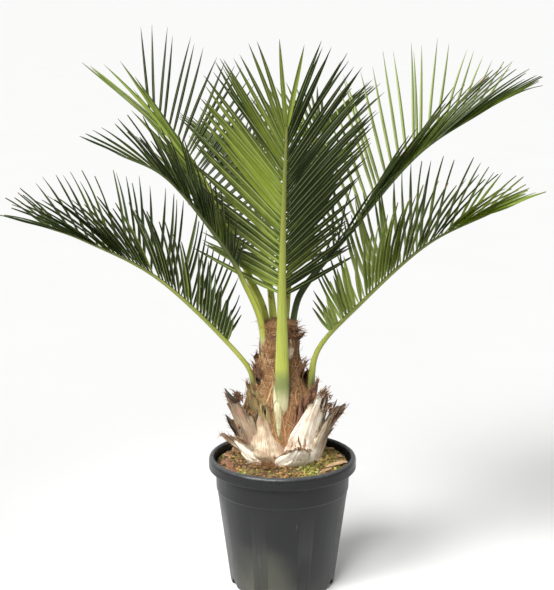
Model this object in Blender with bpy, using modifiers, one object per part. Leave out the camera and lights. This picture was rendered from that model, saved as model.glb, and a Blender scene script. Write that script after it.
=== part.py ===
"""Potted Chilean wine palm: a nursery pot of soil, a short stump with old leaf bases, eight fronds and a spear.

Metres, +Z up. The origin is on the ground under the middle of the pot, and -Y is the front.
"""
import math
import random

import bmesh
import bpy
import numpy as np
from mathutils import Vector
from mathutils.bvhtree import BVHTree

GAP = 0.0004
UP = Vector((0, 0, 1))

# Pot, radii and heights
ROUND_SIDES = 32
RIM_RADIUS = 0.190
RIM_TOP = 0.344
LIP_DROP = 0.032
LIP_OVERHANG = 0.017
LIP_INNER_RADIUS = 0.176
COLLAR_HEIGHT = 0.056
LEDGE = 0.002
BASE_RADIUS = 0.136
WALL = 0.003
FLOOR = 0.005
FLOOR_NARROWING = 0.002
FOOT_HEIGHT = 0.006
FOOT_STEP = 0.004
ROUNDING = 0.004
DRAINS = 8
DRAIN_TURN = 202
DRAIN_WIDTH = 0.036
DRAIN_HEIGHT = 0.020
DRAIN_REACH = 0.030

# Soil
SOIL_EDGE_HEIGHT = 0.320
SOIL_MOUND = 0.018
MOUND_RADII = (0.105, 0.165)
SOIL_RELIEF = 0.002
SOIL_RINGS = (0.105, 0.122, 0.140, 0.156)
STEM_HOLE_RADIUS = 0.088
STEM_HOLE_FLOOR = 0.245
CHIP_WIDTH = 0.016
CHIP_THICKNESS = 0.009
CHIP_TILT = (0.12, 0.10)
CHIPS = (
    # length, azimuth, distance from the middle, turn of the chip
    (0.062, -24, 0.134, 24),
    (0.044, -6, 0.141, -32),
    (0.040, 75, 0.140, 50),
    (0.036, 200, 0.143, 110),
)

# Stump: radius at each height above the soil, and how far the crown has grown off the pot's axis
STUMP_SIDES = 18
STUMP_PROFILE = (
    (0.102, 0.349), (0.109, 0.375), (0.105, 0.420), (0.097, 0.465), (0.083, 0.505), (0.064, 0.540),
    (0.053, 0.580), (0.048, 0.630), (0.045, 0.690),
)
STUMP_COLLAR_HEIGHT = 0.3435
STUMP_TOP = 0.697
STUMP_TOP_RADIUS = 0.030
CROWN_SHIFT = Vector((-0.008, 0.010, 0))
CROWN_SHIFT_HEIGHTS = (0.36, 0.60)
BARK_RELIEF = 0.003

# Old leaf bases: azimuth, foot height, height, width, lean outwards, turn towards the side
LEAF_BASES = (
    (280, 0.352, 0.056, 0.104, 42, 6),
    (256, 0.350, 0.026, 0.046, 26, 4),
    (224, 0.350, 0.068, 0.070, 34, -6),
    (200, 0.356, 0.060, 0.095, 44, -4),
    (244, 0.366, 0.116, 0.128, 0, -2),
    (303, 0.356, 0.190, 0.140, 10, 22),
    (334, 0.352, 0.158, 0.105, 20, 10),
    (352, 0.380, 0.110, 0.085, 30, 5),
    (216, 0.382, 0.146, 0.105, 18, -6),
    (165, 0.355, 0.090, 0.095, 26, 5),
    (120, 0.372, 0.120, 0.105, 8, -5),
    (72, 0.350, 0.085, 0.105, 30, 6),
    (30, 0.370, 0.120, 0.100, 12, -4),
)
LEAF_BASE_COLUMNS = 4
LEAF_BASE_ROWS = 3
LEAF_BASE_THICKNESS = 0.011
LEAF_BASE_ROOT = 0.004
LEAF_BASE_CUPPING = 0.010
TORN_DEPTH = 0.20

# Fronds. Each lies in an upright plane through the crown's axis, and its path is a smooth curve
# through points of reach from that axis and height. Its leaflets start where the bare stalk ends.
# Half widths are at the foot, where the stalk clasps the stem, in its middle and where the leaflets
# start. Lifts are how far the leaflets stand up from the frond's face, in degrees, at the start,
# middle and tip of its leafy part. A spread opens or closes the leaflets' angle to the midrib on one
# side, a size scales them there, and a base share is the first leaflet's length against the longest.
FRONDS = {
    "frond_front": dict(
        azimuth=275,
        path=((0.092, 0.450), (0.082, 0.530), (0.073, 0.640), (0.080, 0.830), (0.120, 1.025), (0.190, 1.205)),
        stalk=0.42, half_widths=(0.013, 0.0185, 0.0150, 0.0105), half_depth=0.009,
        pairs=29, leaflet=0.325, tip_leaflet=0.235, right_lift=(40, 34, 24), left_lift=(40, 34, 24),
        base_share=0.85),
    "frond_lower_left": dict(
        azimuth=190,
        path=((0.058, 0.430), (0.066, 0.530), (0.105, 0.613), (0.300, 0.812), (0.480, 0.915), (0.580, 0.955)),
        stalk=0.30, half_widths=(0.012, 0.014, 0.010, 0.0070), half_depth=0.0095,
        pairs=26, leaflet=0.262, tip_leaflet=0.140, right_lift=(56, 54, 40), left_lift=(52, 50, 30),
        right_spread=14, left_spread=-14),
    "frond_lower_right": dict(
        azimuth=352,
        path=((0.060, 0.425), (0.078, 0.520), (0.098, 0.625), (0.195, 0.738), (0.365, 0.900), (0.530, 0.988)),
        stalk=0.33, half_widths=(0.013, 0.017, 0.012, 0.008), half_depth=0.013,
        pairs=25, leaflet=0.262, tip_leaflet=0.140, right_lift=(48, 44, 26), left_lift=(56, 54, 36),
        right_spread=-6, left_spread=14),
    "frond_upper_left": dict(
        azimuth=140,
        path=((0.038, 0.610), (0.052, 0.710), (0.098, 0.790), (0.170, 0.922), (0.305, 1.087), (0.460, 1.195)),
        stalk=0.33, half_widths=(0.010, 0.013, 0.013, 0.009), half_depth=0.010,
        pairs=26, leaflet=0.335, tip_leaflet=0.350, right_lift=(62, 66, 68), left_lift=(-8, -6, 8),
        right_spread=24, left_spread=-44, right_size=0.80, left_size=1.15),
    "frond_mid_left": dict(
        azimuth=200,
        path=((0.038, 0.605), (0.050, 0.700), (0.088, 0.790), (0.144, 0.893), (0.284, 1.068), (0.410, 1.137)),
        stalk=0.36, half_widths=(0.010, 0.013, 0.013, 0.009), half_depth=0.010,
        pairs=22, leaflet=0.190, tip_leaflet=0.125, right_lift=(76, 72, 62), left_lift=(30, 28, 26),
        right_spread=-24, left_spread=-24),
    "frond_upper_right": dict(
        azimuth=36,
        path=((0.038, 0.615), (0.050, 0.720), (0.088, 0.782), (0.210, 0.887), (0.457, 1.088), (0.715, 1.200)),
        stalk=0.24, half_widths=(0.009, 0.011, 0.011, 0.008), half_depth=0.007,
        pairs=26, leaflet=0.325, tip_leaflet=0.215, right_lift=(48, 46, 34), left_lift=(60, 68, 68),
        right_spread=-8),
    "frond_back_right": dict(
        azimuth=72,
        path=((0.038, 0.600), (0.050, 0.690), (0.085, 0.800), (0.150, 0.940), (0.255, 1.080), (0.400, 1.180)),
        stalk=0.26, half_widths=(0.009, 0.010, 0.010, 0.008), half_depth=0.007,
        pairs=21, leaflet=0.280, tip_leaflet=0.170, right_lift=(40, 34, 22), left_lift=(40, 34, 22)),
    "frond_back": dict(
        azimuth=107,
        path=((0.038, 0.595), (0.052, 0.680), (0.090, 0.780), (0.165, 0.900), (0.300, 1.020), (0.460, 1.095)),
        stalk=0.26, half_widths=(0.009, 0.010, 0.010, 0.008), half_depth=0.007,
        pairs=20, leaflet=0.270, tip_leaflet=0.170, right_lift=(44, 40, 24), left_lift=(44, 40, 24)),
}
RIB_STATIONS = (0, 0.05, 0.10, 0.16, 0.22, 0.29, 0.37, 0.45, 0.53, 0.61, 0.69, 0.77, 0.85, 0.93, 1)
RIB_SECTION = ((-0.8, 0.6), (0.8, 0.6), (1, 0), (0.5, -1), (-0.5, -1), (-1, 0))
START_HALF_DEPTH = 0.007
MIDDLE_HALF_DEPTH = 0.0048
TIP_HALF_WIDTH = 0.0025
LAST_PAIR = 0.995
ROOT_DEPTH = 0.001

# The folded new leaf in the middle of the crown
SPEAR_AZIMUTH = 275
SPEAR_PATH = ((0.000, 0.620), (0.002, 0.700), (0.006, 0.850), (0.014, 1.010))
SPEAR_HALF_WIDTH = 0.008
SPEAR_STATIONS = (0, 0.25, 0.5, 0.75, 1)

# Leaflets, along the leafy part of a frond from 0 at the stalk to 1 at the tip
BASE_SHARE = 0.38
LENGTH_SHARES = ((0.12, 0.72), (0.35, 1.0), (0.70, 0.96))
LEAST_ANGLE = 10
ANGLES_TO_RIB = ((0, 76), (0.25, 62), (0.60, 49), (0.85, 33), (1, 13))
LEAFLET_WIDTH = 0.0190
LEAFLET_RIDGE = 0.0017
LEAFLET_TWIST = 30
LEAFLET_DROOP = 0.07
BLADE_STATIONS = ((0, 0.42), (0.30, 1.0), (0.66, 0.78))
FREE_STATIONS = ((0.07, 0.55), (0.30, 1.0), (0.66, 0.78))

# What a leaflet may do to stay clear of its neighbours, least change first
CLEARANCE = 0.0009
LENGTH_TRIES = (1.0, 0.86, 0.70, 0.52)
LIFT_TRIES = (0, 7, -7, 14, -14, 22, -22, 30, -30)
ANGLE_TRIES = (0, 5, -5)


def clear_scene():
    for item in list(bpy.data.objects):
        bpy.data.objects.remove(item, do_unlink=True)


def collection(name):
    made = bpy.data.collections.new(name)
    bpy.context.scene.collection.children.link(made)
    return made


def finish(name, colour, roughness):
    material = bpy.data.materials.new(name)
    material.use_nodes = True
    shader = material.node_tree.nodes["Principled BSDF"]
    shader.inputs["Base Color"].default_value = (*colour, 1)
    shader.inputs["Roughness"].default_value = roughness
    shader.inputs["Metallic"].default_value = 0
    return material


def mesh_object(name, builder, where, material=None):
    """An object from a bmesh, which is freed."""
    mesh = bpy.data.meshes.new(name)
    bmesh.ops.recalc_face_normals(builder, faces=builder.faces)
    builder.to_mesh(mesh)
    builder.free()
    item = bpy.data.objects.new(name, mesh)
    where.objects.link(item)
    if material:
        mesh.materials.append(material)
    return item


def baked(item):
    """Turn an object's modifiers into plain mesh."""
    graph = bpy.context.evaluated_depsgraph_get()
    mesh = bpy.data.meshes.new_from_object(item.evaluated_get(graph))
    item.modifiers.clear()
    item.data = mesh
    return item


def hide(item):
    item.hide_render = True
    item.display_type = "WIRE"
    return item


def interpolate(pairs, x):
    return float(np.interp(x, [pair[0] for pair in pairs], [pair[1] for pair in pairs]))


def turned(name, profile, sides, where, material=None):
    """A turned solid from (radius, height) points that run down its outer side."""
    builder = bmesh.new()
    points = [builder.verts.new((radius, 0, height)) for radius, height in profile]
    for first, second in zip(points, points[1:]):
        builder.edges.new((first, second))
    mesh = bpy.data.meshes.new(name)
    builder.to_mesh(mesh)
    builder.free()
    item = bpy.data.objects.new(name, mesh)
    where.objects.link(item)
    screw = item.modifiers.new("Turn", "SCREW")
    screw.steps = sides
    screw.render_steps = sides
    screw.use_merge_vertices = True
    screw.merge_threshold = 0.00001
    item = baked(item)
    if material:
        item.data.materials.clear()
        item.data.materials.append(material)
    return item


def loft(rings, tip=None):
    """A closed skin over rings of points with the same count, ending flat or in a point."""
    builder = bmesh.new()
    rows = [[builder.verts.new(point) for point in ring] for ring in rings]
    count = len(rows[0])
    for row, following in zip(rows, rows[1:]):
        for k in range(count):
            after = (k + 1) % count
            builder.faces.new((row[k], row[after], following[after], following[k]))
    builder.faces.new(list(reversed(rows[0])))
    if tip is None:
        builder.faces.new(rows[-1])
    else:
        point = builder.verts.new(tip)
        for k in range(count):
            builder.faces.new((rows[-1][k], rows[-1][(k + 1) % count], point))
    return builder


def boolean(item, operand, operation, solver="EXACT"):
    """Cut or join with an object, or with a whole collection, and keep the result as plain mesh."""
    modifier = item.modifiers.new(operation.title(), "BOOLEAN")
    modifier.operation = operation
    modifier.solver = solver
    if isinstance(operand, bpy.types.Collection):
        modifier.operand_type = "COLLECTION"
        modifier.collection = operand
    else:
        modifier.object = operand
    return baked(item)


def pot_wall():
    """The pot's outer wall from under the lip to the ground."""
    collar_radius = RIM_RADIUS - LIP_OVERHANG
    lip_foot = RIM_TOP - LIP_DROP
    ledge_height = lip_foot - COLLAR_HEIGHT
    return (
        (collar_radius, lip_foot),
        (collar_radius - LEDGE, ledge_height + LEDGE),
        (collar_radius - 2 * LEDGE, ledge_height),
        (BASE_RADIUS, FOOT_HEIGHT),
        (BASE_RADIUS - FOOT_STEP, 0),
    )


def make_pot(where, cutters, material):
    wall = pot_wall()
    lip = (
        (LIP_INNER_RADIUS, RIM_TOP - ROUNDING),
        (LIP_INNER_RADIUS + ROUNDING, RIM_TOP),
        (RIM_RADIUS - ROUNDING, RIM_TOP),
        (RIM_RADIUS, RIM_TOP - ROUNDING),
        (RIM_RADIUS, RIM_TOP - LIP_DROP + LEDGE),
        (RIM_RADIUS - LEDGE, RIM_TOP - LIP_DROP),
    )
    inside = (
        (BASE_RADIUS - WALL - FLOOR_NARROWING, FLOOR),
        (wall[2][0] - WALL, wall[2][1]),
        (wall[0][0] - WALL, wall[0][1]),
    )
    pot = turned("pot", ((0, FLOOR), *inside, *lip, *wall, (0, 0)), ROUND_SIDES, where, material)
    for k in range(DRAINS):
        angle = math.radians(DRAIN_TURN) + math.tau * k / DRAINS
        builder = bmesh.new()
        bmesh.ops.create_cube(builder, size=1)
        bmesh.ops.scale(builder, vec=(DRAIN_REACH, DRAIN_WIDTH, 2 * DRAIN_HEIGHT), verts=builder.verts)
        drain = hide(mesh_object(f"drain_{k}", builder, cutters))
        drain.location = (BASE_RADIUS * math.cos(angle), BASE_RADIUS * math.sin(angle), 0)
        drain.rotation_euler.z = angle
        bpy.context.view_layer.update()
        boolean(pot, drain, "DIFFERENCE")
    return pot


def soil_height(x, y):
    """The soil's surface: a mound round the stem with low ripples."""
    radius = math.hypot(x, y)
    mound = SOIL_MOUND * float(np.interp(radius, MOUND_RADII, (1, 0)))
    ripple = math.sin(61 * x + 1.3) * math.cos(53 * y - 0.4) + 0.6 * math.sin(97 * x + 83 * y)
    return SOIL_EDGE_HEIGHT + mound + SOIL_RELIEF * ripple


def make_soil(where, material):
    wall = pot_wall()
    outer = (
        (wall[0][0] - WALL - GAP, SOIL_EDGE_HEIGHT),
        (wall[0][0] - WALL - GAP, wall[0][1]),
        (wall[2][0] - WALL - GAP, wall[2][1]),
        (BASE_RADIUS - WALL - FLOOR_NARROWING - 2 * GAP, FLOOR + GAP),
    )
    rings = [(radius, SOIL_EDGE_HEIGHT) for radius in SOIL_RINGS]
    socket = ((0, STEM_HOLE_FLOOR), (STEM_HOLE_RADIUS, STEM_HOLE_FLOOR), (STEM_HOLE_RADIUS, SOIL_EDGE_HEIGHT))
    soil = turned("soil", (*socket, *rings, *outer, (0, FLOOR + GAP)), ROUND_SIDES, where, material)
    for vertex in soil.data.vertices:
        if vertex.co.z > SOIL_EDGE_HEIGHT - 0.001:
            vertex.co.z = soil_height(vertex.co.x, vertex.co.y)
    chips = collection("bark chips")
    for k, (length, azimuth, distance, turn) in enumerate(CHIPS):
        angle = math.radians(azimuth)
        place = Vector((distance * math.cos(angle), distance * math.sin(angle), 0))
        place.z = soil_height(place.x, place.y) + 0.001
        builder = bmesh.new()
        bmesh.ops.create_cube(builder, size=1)
        bmesh.ops.scale(builder, vec=(length, CHIP_WIDTH, CHIP_THICKNESS), verts=builder.verts)
        chip = mesh_object(f"chip_{k}", builder, chips)
        chip.location = place
        chip.rotation_euler = (*CHIP_TILT, math.radians(turn))
    bpy.context.view_layer.update()
    boolean(soil, chips, "UNION")
    drop(chips)
    return soil


def drop(group):
    for item in list(group.objects):
        bpy.data.objects.remove(item, do_unlink=True)
    bpy.data.collections.remove(group)


def crown_offset(height):
    """How far the stem's axis stands off the pot's axis at a height."""
    return CROWN_SHIFT * float(np.interp(height, CROWN_SHIFT_HEIGHTS, (0, 1)))


def stump_radius(height):
    return interpolate([(z, radius) for radius, z in STUMP_PROFILE], height)


def leaf_base(azimuth, foot, height, width, lean, turn, seed):
    """A cut leaf base: a thick clasping plate from inside the stem to a torn edge that stands off it."""
    draw = random.Random(seed)
    columns = LEAF_BASE_COLUMNS
    rows = LEAF_BASE_ROWS
    tears = [draw.uniform(0, TORN_DEPTH) for _ in range(columns + 1)]
    builder = bmesh.new()
    outer = []
    inner = []
    for j in range(rows + 1):
        up = j / rows
        for skin, line in ((0.5, []), (-0.5, [])):
            for i in range(columns + 1):
                across = 2 * i / columns - 1
                climb = up * (1 - tears[i] * up)
                z = foot + height * climb * (1 - 0.12 * across * across)
                thick = LEAF_BASE_THICKNESS * (1 - 0.55 * across * across) * (1 - 0.45 * up)
                out = stump_radius(foot) + height * math.tan(math.radians(lean)) * climb ** 1.4
                out = max(out, stump_radius(z)) - LEAF_BASE_ROOT
                out += skin * thick - LEAF_BASE_CUPPING * across * across * up
                spread = width * (1 - 0.30 * up * up) / 2 * across
                angle = math.radians(azimuth + turn * up) + spread / max(out, 0.09)
                place = crown_offset(z) + Vector((out * math.cos(angle), out * math.sin(angle), z))
                line.append(builder.verts.new(place))
            (outer if skin > 0 else inner).append(line)
    for skin in (outer, inner):
        for lower, upper in zip(skin, skin[1:]):
            for i in range(columns):
                builder.faces.new((lower[i], lower[i + 1], upper[i + 1], upper[i]))
    for j in (0, rows):
        for i in range(columns):
            builder.faces.new((outer[j][i], outer[j][i + 1], inner[j][i + 1], inner[j][i]))
    for i in (0, columns):
        for j in range(rows):
            builder.faces.new((outer[j][i], outer[j + 1][i], inner[j + 1][i], inner[j][i]))
    return builder


def make_stump(where, material):
    above = [(radius, height) for radius, height in reversed(STUMP_PROFILE)]
    foot = STEM_HOLE_RADIUS - 0.001
    below = [(foot, STUMP_COLLAR_HEIGHT), (foot, STEM_HOLE_FLOOR + GAP), (0, STEM_HOLE_FLOOR + GAP)]
    profile = [(0, STUMP_TOP), (STUMP_TOP_RADIUS, STUMP_TOP), *above, *below]
    stump = turned("stump", profile, STUMP_SIDES, where, material)
    for vertex in stump.data.vertices:
        x, y, z = vertex.co
        if z > STUMP_PROFILE[0][1] + 0.001 and math.hypot(x, y) > 0.001:
            angle = math.atan2(y, x)
            bump = BARK_RELIEF * math.sin(5 * angle + 40 * z) * math.cos(3 * angle - 60 * z)
            scale = 1 + bump / math.hypot(x, y)
            vertex.co.x = x * scale
            vertex.co.y = y * scale
        vertex.co += crown_offset(z)
    bases = collection("leaf bases")
    for k, (azimuth, foot_height, height, width, lean, turn) in enumerate(LEAF_BASES):
        plate = leaf_base(azimuth, foot_height, height, width, lean, turn, k)
        mesh_object(f"leaf_base_{k}", plate, bases)
    bpy.context.view_layer.update()
    boolean(stump, bases, "UNION", "MANIFOLD")
    drop(bases)
    return stump


def smooth_path(points, steps):
    """Evenly spaced points on a smooth curve through the given points."""
    padded = [2 * points[0] - points[1], *points, 2 * points[-1] - points[-2]]
    fine = []
    for before, start, end, after in zip(padded, padded[1:], padded[2:], padded[3:]):
        for k in range(16):
            t = k / 16
            fine.append(0.5 * (
                2 * start + (end - before) * t + (2 * before - 5 * start + 4 * end - after) * t ** 2
                + (3 * start - before - 3 * end + after) * t ** 3))
    fine.append(points[-1])
    fine = np.array(fine)
    along = np.concatenate([[0], np.cumsum(np.linalg.norm(np.diff(fine, axis=0), axis=1))])
    wanted = np.linspace(0, along[-1], steps + 1)
    return np.stack([np.interp(wanted, along, fine[:, axis]) for axis in (0, 1)], axis=1), along[-1]


class Rib:
    """A frond's stalk and midrib: places and directions along it, from 0 at its foot to 1 at its tip."""

    STEPS = 96

    def __init__(self, azimuth, path):
        angle = math.radians(azimuth)
        self.outwards = Vector((math.cos(angle), math.sin(angle), 0))
        self.side = self.outwards.cross(UP)
        self.points, self.length = smooth_path([np.array(point) for point in path], self.STEPS)

    def at(self, share):
        """Place, direction, upper side and right-hand side at a share of the length."""
        k = min(self.STEPS - 1, max(0, share * self.STEPS))
        low = int(k)
        part = share * self.STEPS - low
        here = self.points[low] * (1 - part) + self.points[low + 1] * part
        before = self.points[max(0, low - 2)]
        after = self.points[min(self.STEPS, low + 3)]
        run, rise = (after - before) / np.linalg.norm(after - before)
        place = CROWN_SHIFT + self.outwards * here[0] + UP * here[1]
        along = self.outwards * run + UP * rise
        upper = self.outwards * -rise + UP * run
        return place, along, upper, self.side


def rib_rings(rib, frond, grow=0.0):
    """Sections of the stalk and midrib: flat above, keeled below, and thinner towards the tip.

    Grown sections stand that far outside the stalk on every side and below its foot.
    """
    stalk = frond["stalk"]
    foot, clasp, middle, start = frond["half_widths"]
    widths = (
        (0, foot), (stalk * 0.3, clasp), (stalk * 0.65, middle), (stalk, start),
        ((1 + stalk) / 2, start * 0.6), (1, TIP_HALF_WIDTH))
    depth = frond["half_depth"]
    depths = (
        (0, depth), (stalk * 0.5, 0.8 * depth), (stalk, START_HALF_DEPTH),
        ((1 + stalk) / 2, MIDDLE_HALF_DEPTH), (1, TIP_HALF_WIDTH))
    rings = []
    for share in RIB_STATIONS:
        place, along, upper, side = rib.at(share)
        if share == 0:
            place = place - along * grow
        wide = interpolate(widths, share) + grow
        deep = interpolate(depths, share) + grow
        rings.append([place + side * (wide * a) + upper * (deep * b) for a, b in RIB_SECTION])
    return rings


def spear_rings(grow=0.0):
    """Sections of the folded new leaf, four-sided and narrowing to its tip."""
    rib = Rib(SPEAR_AZIMUTH, SPEAR_PATH)
    rings = []
    for share in SPEAR_STATIONS:
        place, along, upper, side = rib.at(share)
        if share == 0:
            place = place - along * grow
        half = SPEAR_HALF_WIDTH * (1 - 0.8 * share ** 2) + grow
        rings.append([place + side * half, place + upper * half, place - side * half, place - upper * half])
    return rings


class Leaflet:
    """A narrow three-sided blade that grows from the midrib and droops a little."""

    def __init__(self, rib, share, right, angle, lift, twist, length, width):
        place, along, upper, side = rib.at(share)
        side = side * (1 if right else -1)
        angle = math.radians(angle)
        lift = math.radians(lift)
        self.start = place - upper * ROOT_DEPTH
        self.length = length
        self.width = width
        outwards = side * math.cos(lift) + upper * math.sin(lift)
        self.direction = along * math.cos(angle) + outwards * math.sin(angle)
        flat = (along - self.direction * along.dot(self.direction)).normalized()
        face = upper * math.cos(lift) - side * math.sin(lift)
        twist = math.radians(twist)
        self.across = flat * math.cos(twist) + face * math.sin(twist)
        self.face = face * math.cos(twist) - flat * math.sin(twist)

    def centre(self, share):
        sag = LEAFLET_DROOP * self.length * share * share
        return self.start + self.direction * (self.length * share) - self.face * sag

    def rings(self, stations=BLADE_STATIONS, grow=0.0):
        """Sections of the blade, or of the room round it where it is grown."""
        rings = []
        for share, wide in stations:
            middle = self.centre(share)
            edge = self.across * (self.width * wide / 2 + grow)
            ridge = self.face * (LEAFLET_RIDGE + grow)
            room = self.face * grow
            if grow:
                ring = [middle - edge - room, middle + edge - room, middle + edge + room, middle + ridge,
                        middle - edge + room]
            else:
                ring = [middle - edge, middle + edge, middle + ridge]
            rings.append(ring)
        return rings

    def hull(self, stations, grow=0.0):
        """The corner points of the blade, or of the room round it, and a search tree of its faces."""
        rings = self.rings(stations, grow)
        count = len(rings[0])
        points = [point for ring in rings for point in ring]
        points.append(self.centre(1) + self.direction * (3 * grow))
        last = count * (len(rings) - 1)
        faces = []
        for row in range(0, last, count):
            for k in range(count):
                a, b = row + k, row + (k + 1) % count
                faces.append((a, b, b + count))
                faces.append((a, b + count, a + count))
        for k in range(count):
            faces.append((last + k, last + (k + 1) % count, len(points) - 1))
        return points, BVHTree.FromPolygons(points, faces, all_triangles=True)


class Surroundings:
    """Everything placed so far, against which a new leaflet is tried.

    Leaflets of one frond may touch at their roots, so between them only the free part counts.
    """

    def __init__(self):
        self.lows = np.zeros((0, 3))
        self.highs = np.zeros((0, 3))
        self.whole = []
        self.free = []
        self.owners = []

    def add(self, points, whole, free, owner):
        points = np.array(points)
        self.lows = np.vstack([self.lows, points.min(axis=0)])
        self.highs = np.vstack([self.highs, points.max(axis=0)])
        self.whole.append(whole)
        self.free.append(free)
        self.owners.append(owner)

    def add_stalk(self, rings, owner):
        """A stalk or rib, which its own leaflets grow from."""
        points = [point for ring in rings for point in ring]
        count = len(rings[0])
        faces = []
        for row in range(len(rings) - 1):
            for k in range(count):
                a, b = count * row + k, count * row + (k + 1) % count
                faces.append((a, b, b + count, a + count))
        self.add(points, BVHTree.FromPolygons(points, faces), None, owner)

    def add_leaflet(self, leaflet, owner):
        points, whole = leaflet.hull(BLADE_STATIONS)
        self.add(points, whole, leaflet.hull(FREE_STATIONS)[1], owner)

    def has_room_for(self, leaflet, owner):
        points, whole = leaflet.hull(BLADE_STATIONS, CLEARANCE)
        free = leaflet.hull(FREE_STATIONS, CLEARANCE)[1]
        points = np.array(points)
        near = np.all((self.lows <= points.max(axis=0)) & (self.highs >= points.min(axis=0)), axis=1)
        for k in np.flatnonzero(near):
            if self.owners[k] != owner:
                touches = whole.overlap(self.whole[k])
            else:
                touches = self.free[k] and free.overlap(self.free[k])
            if touches:
                return False
        return True


def place_leaflets(name, frond, rib, surroundings):
    """The frond's leaflets, each turned, lifted or shortened as little as keeps it clear of the others."""
    draw = random.Random(name)
    placed = []
    pairs = frond["pairs"]
    stalk = frond["stalk"]
    base = frond.get("base_share", BASE_SHARE)
    lengths = ((0, base), *LENGTH_SHARES, (1, frond["tip_leaflet"] / frond["leaflet"]))
    for pair in range(pairs):
        share = pair / (pairs - 1)
        for right in (True, False):
            lift = float(np.interp(share, (0, 0.5, 1), frond["right_lift" if right else "left_lift"]))
            place = stalk + (LAST_PAIR - stalk) * (pair + (0.5 if right else 0.2)) / pairs
            spread = frond.get("right_spread" if right else "left_spread", 0)
            size = frond.get("right_size" if right else "left_size", 1)
            angle = max(LEAST_ANGLE, interpolate(ANGLES_TO_RIB, share) + spread) + draw.uniform(-2, 2)
            own_lift = lift + draw.uniform(-3, 3)
            twist = LEAFLET_TWIST + draw.uniform(-5, 5)
            length = size * frond["leaflet"] * interpolate(lengths, share) * draw.uniform(0.95, 1.04)
            width = LEAFLET_WIDTH * (0.72 + 0.28 * math.sin(math.pi * min(1, 0.15 + share)))
            tries = (
                (shorter, more_lift, more_angle)
                for shorter in LENGTH_TRIES for more_lift in LIFT_TRIES for more_angle in ANGLE_TRIES)
            for shorter, more_lift, more_angle in tries:
                leaflet = Leaflet(
                    rib, place, right, angle + more_angle, own_lift + more_lift, twist, length * shorter, width)
                if surroundings.has_room_for(leaflet, name):
                    placed.append(leaflet)
                    surroundings.add_leaflet(leaflet, name)
                    break
    return placed


def make_frond(name, rib, frond, leaflets, where, material):
    """The stalk and midrib with its leaflets joined to it."""
    item = mesh_object(name, loft(rib_rings(rib, frond)), where, material)
    blades = collection(f"{name} blades")
    for k, leaflet in enumerate(leaflets):
        mesh_object(f"{name}_blade_{k}", loft(leaflet.rings(), leaflet.centre(1)), blades)
    bpy.context.view_layer.update()
    boolean(item, blades, "UNION", "MANIFOLD")
    drop(blades)
    return item


def main():
    clear_scene()
    palm = collection("potted chilean wine palm")
    cutters = collection("cutters")
    plastic = finish("black plastic", (0.020, 0.021, 0.023), 0.42)
    earth = finish("soil", (0.070, 0.050, 0.022), 0.95)
    bark = finish("old leaf bases", (0.36, 0.27, 0.17), 0.85)
    leaf = finish("leaf", (0.060, 0.135, 0.022), 0.45)
    make_pot(palm, cutters, plastic)
    make_soil(palm, earth)
    stump = make_stump(palm, bark)

    ribs = {name: Rib(frond["azimuth"], frond["path"]) for name, frond in FRONDS.items()}
    surroundings = Surroundings()
    surroundings.add_stalk(spear_rings(CLEARANCE), "spear")
    for name, frond in FRONDS.items():
        surroundings.add_stalk(rib_rings(ribs[name], frond, CLEARANCE), name)
    for name, frond in FRONDS.items():
        leaflets = place_leaflets(name, frond, ribs[name], surroundings)
        make_frond(name, ribs[name], frond, leaflets, palm, leaf)
        socket = hide(mesh_object(f"{name}_socket", loft(rib_rings(ribs[name], frond, GAP)), cutters))
        boolean(stump, socket, "DIFFERENCE")
    mesh_object("spear", loft(spear_rings()), palm, leaf)
    socket = hide(mesh_object("spear_socket", loft(spear_rings(GAP)), cutters))
    boolean(stump, socket, "DIFFERENCE")


main()
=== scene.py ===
"""Looks of the potted Chilean wine palm: fine fronds, fibrous stump, mossy soil and black pot.

Metres, +Z up. The origin is on the ground under the middle of the pot, and -Y is the front.
"""

import math
import random
from itertools import product

import bmesh
import bpy
import numpy as np
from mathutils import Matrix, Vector, noise
from mathutils.bvhtree import BVHTree


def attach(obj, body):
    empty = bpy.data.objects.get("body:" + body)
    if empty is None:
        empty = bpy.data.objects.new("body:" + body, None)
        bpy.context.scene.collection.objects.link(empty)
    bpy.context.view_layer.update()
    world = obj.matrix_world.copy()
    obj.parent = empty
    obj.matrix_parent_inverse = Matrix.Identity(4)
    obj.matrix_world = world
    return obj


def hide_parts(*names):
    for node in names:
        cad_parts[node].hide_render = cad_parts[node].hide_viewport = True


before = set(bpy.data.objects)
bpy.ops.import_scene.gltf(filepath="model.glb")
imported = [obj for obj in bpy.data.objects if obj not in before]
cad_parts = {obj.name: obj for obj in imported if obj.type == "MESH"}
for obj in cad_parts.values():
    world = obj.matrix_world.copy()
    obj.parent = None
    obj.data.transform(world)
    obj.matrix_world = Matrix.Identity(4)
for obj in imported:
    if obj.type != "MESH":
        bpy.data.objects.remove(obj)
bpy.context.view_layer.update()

UP = Vector((0, 0, 1))

# Camera, at the photograph's viewing angle
CAMERA_PLACE = (-0.0142, -3.40, 1.506)
CAMERA_DOWN = 12.3
CAMERA_LENS = 84.26
SENSOR_HEIGHT = 36
CAMERA_REACH = 3000

# Studio
FLOOR_REACH = 900
WORLD_STRENGTH = 0.50

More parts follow.
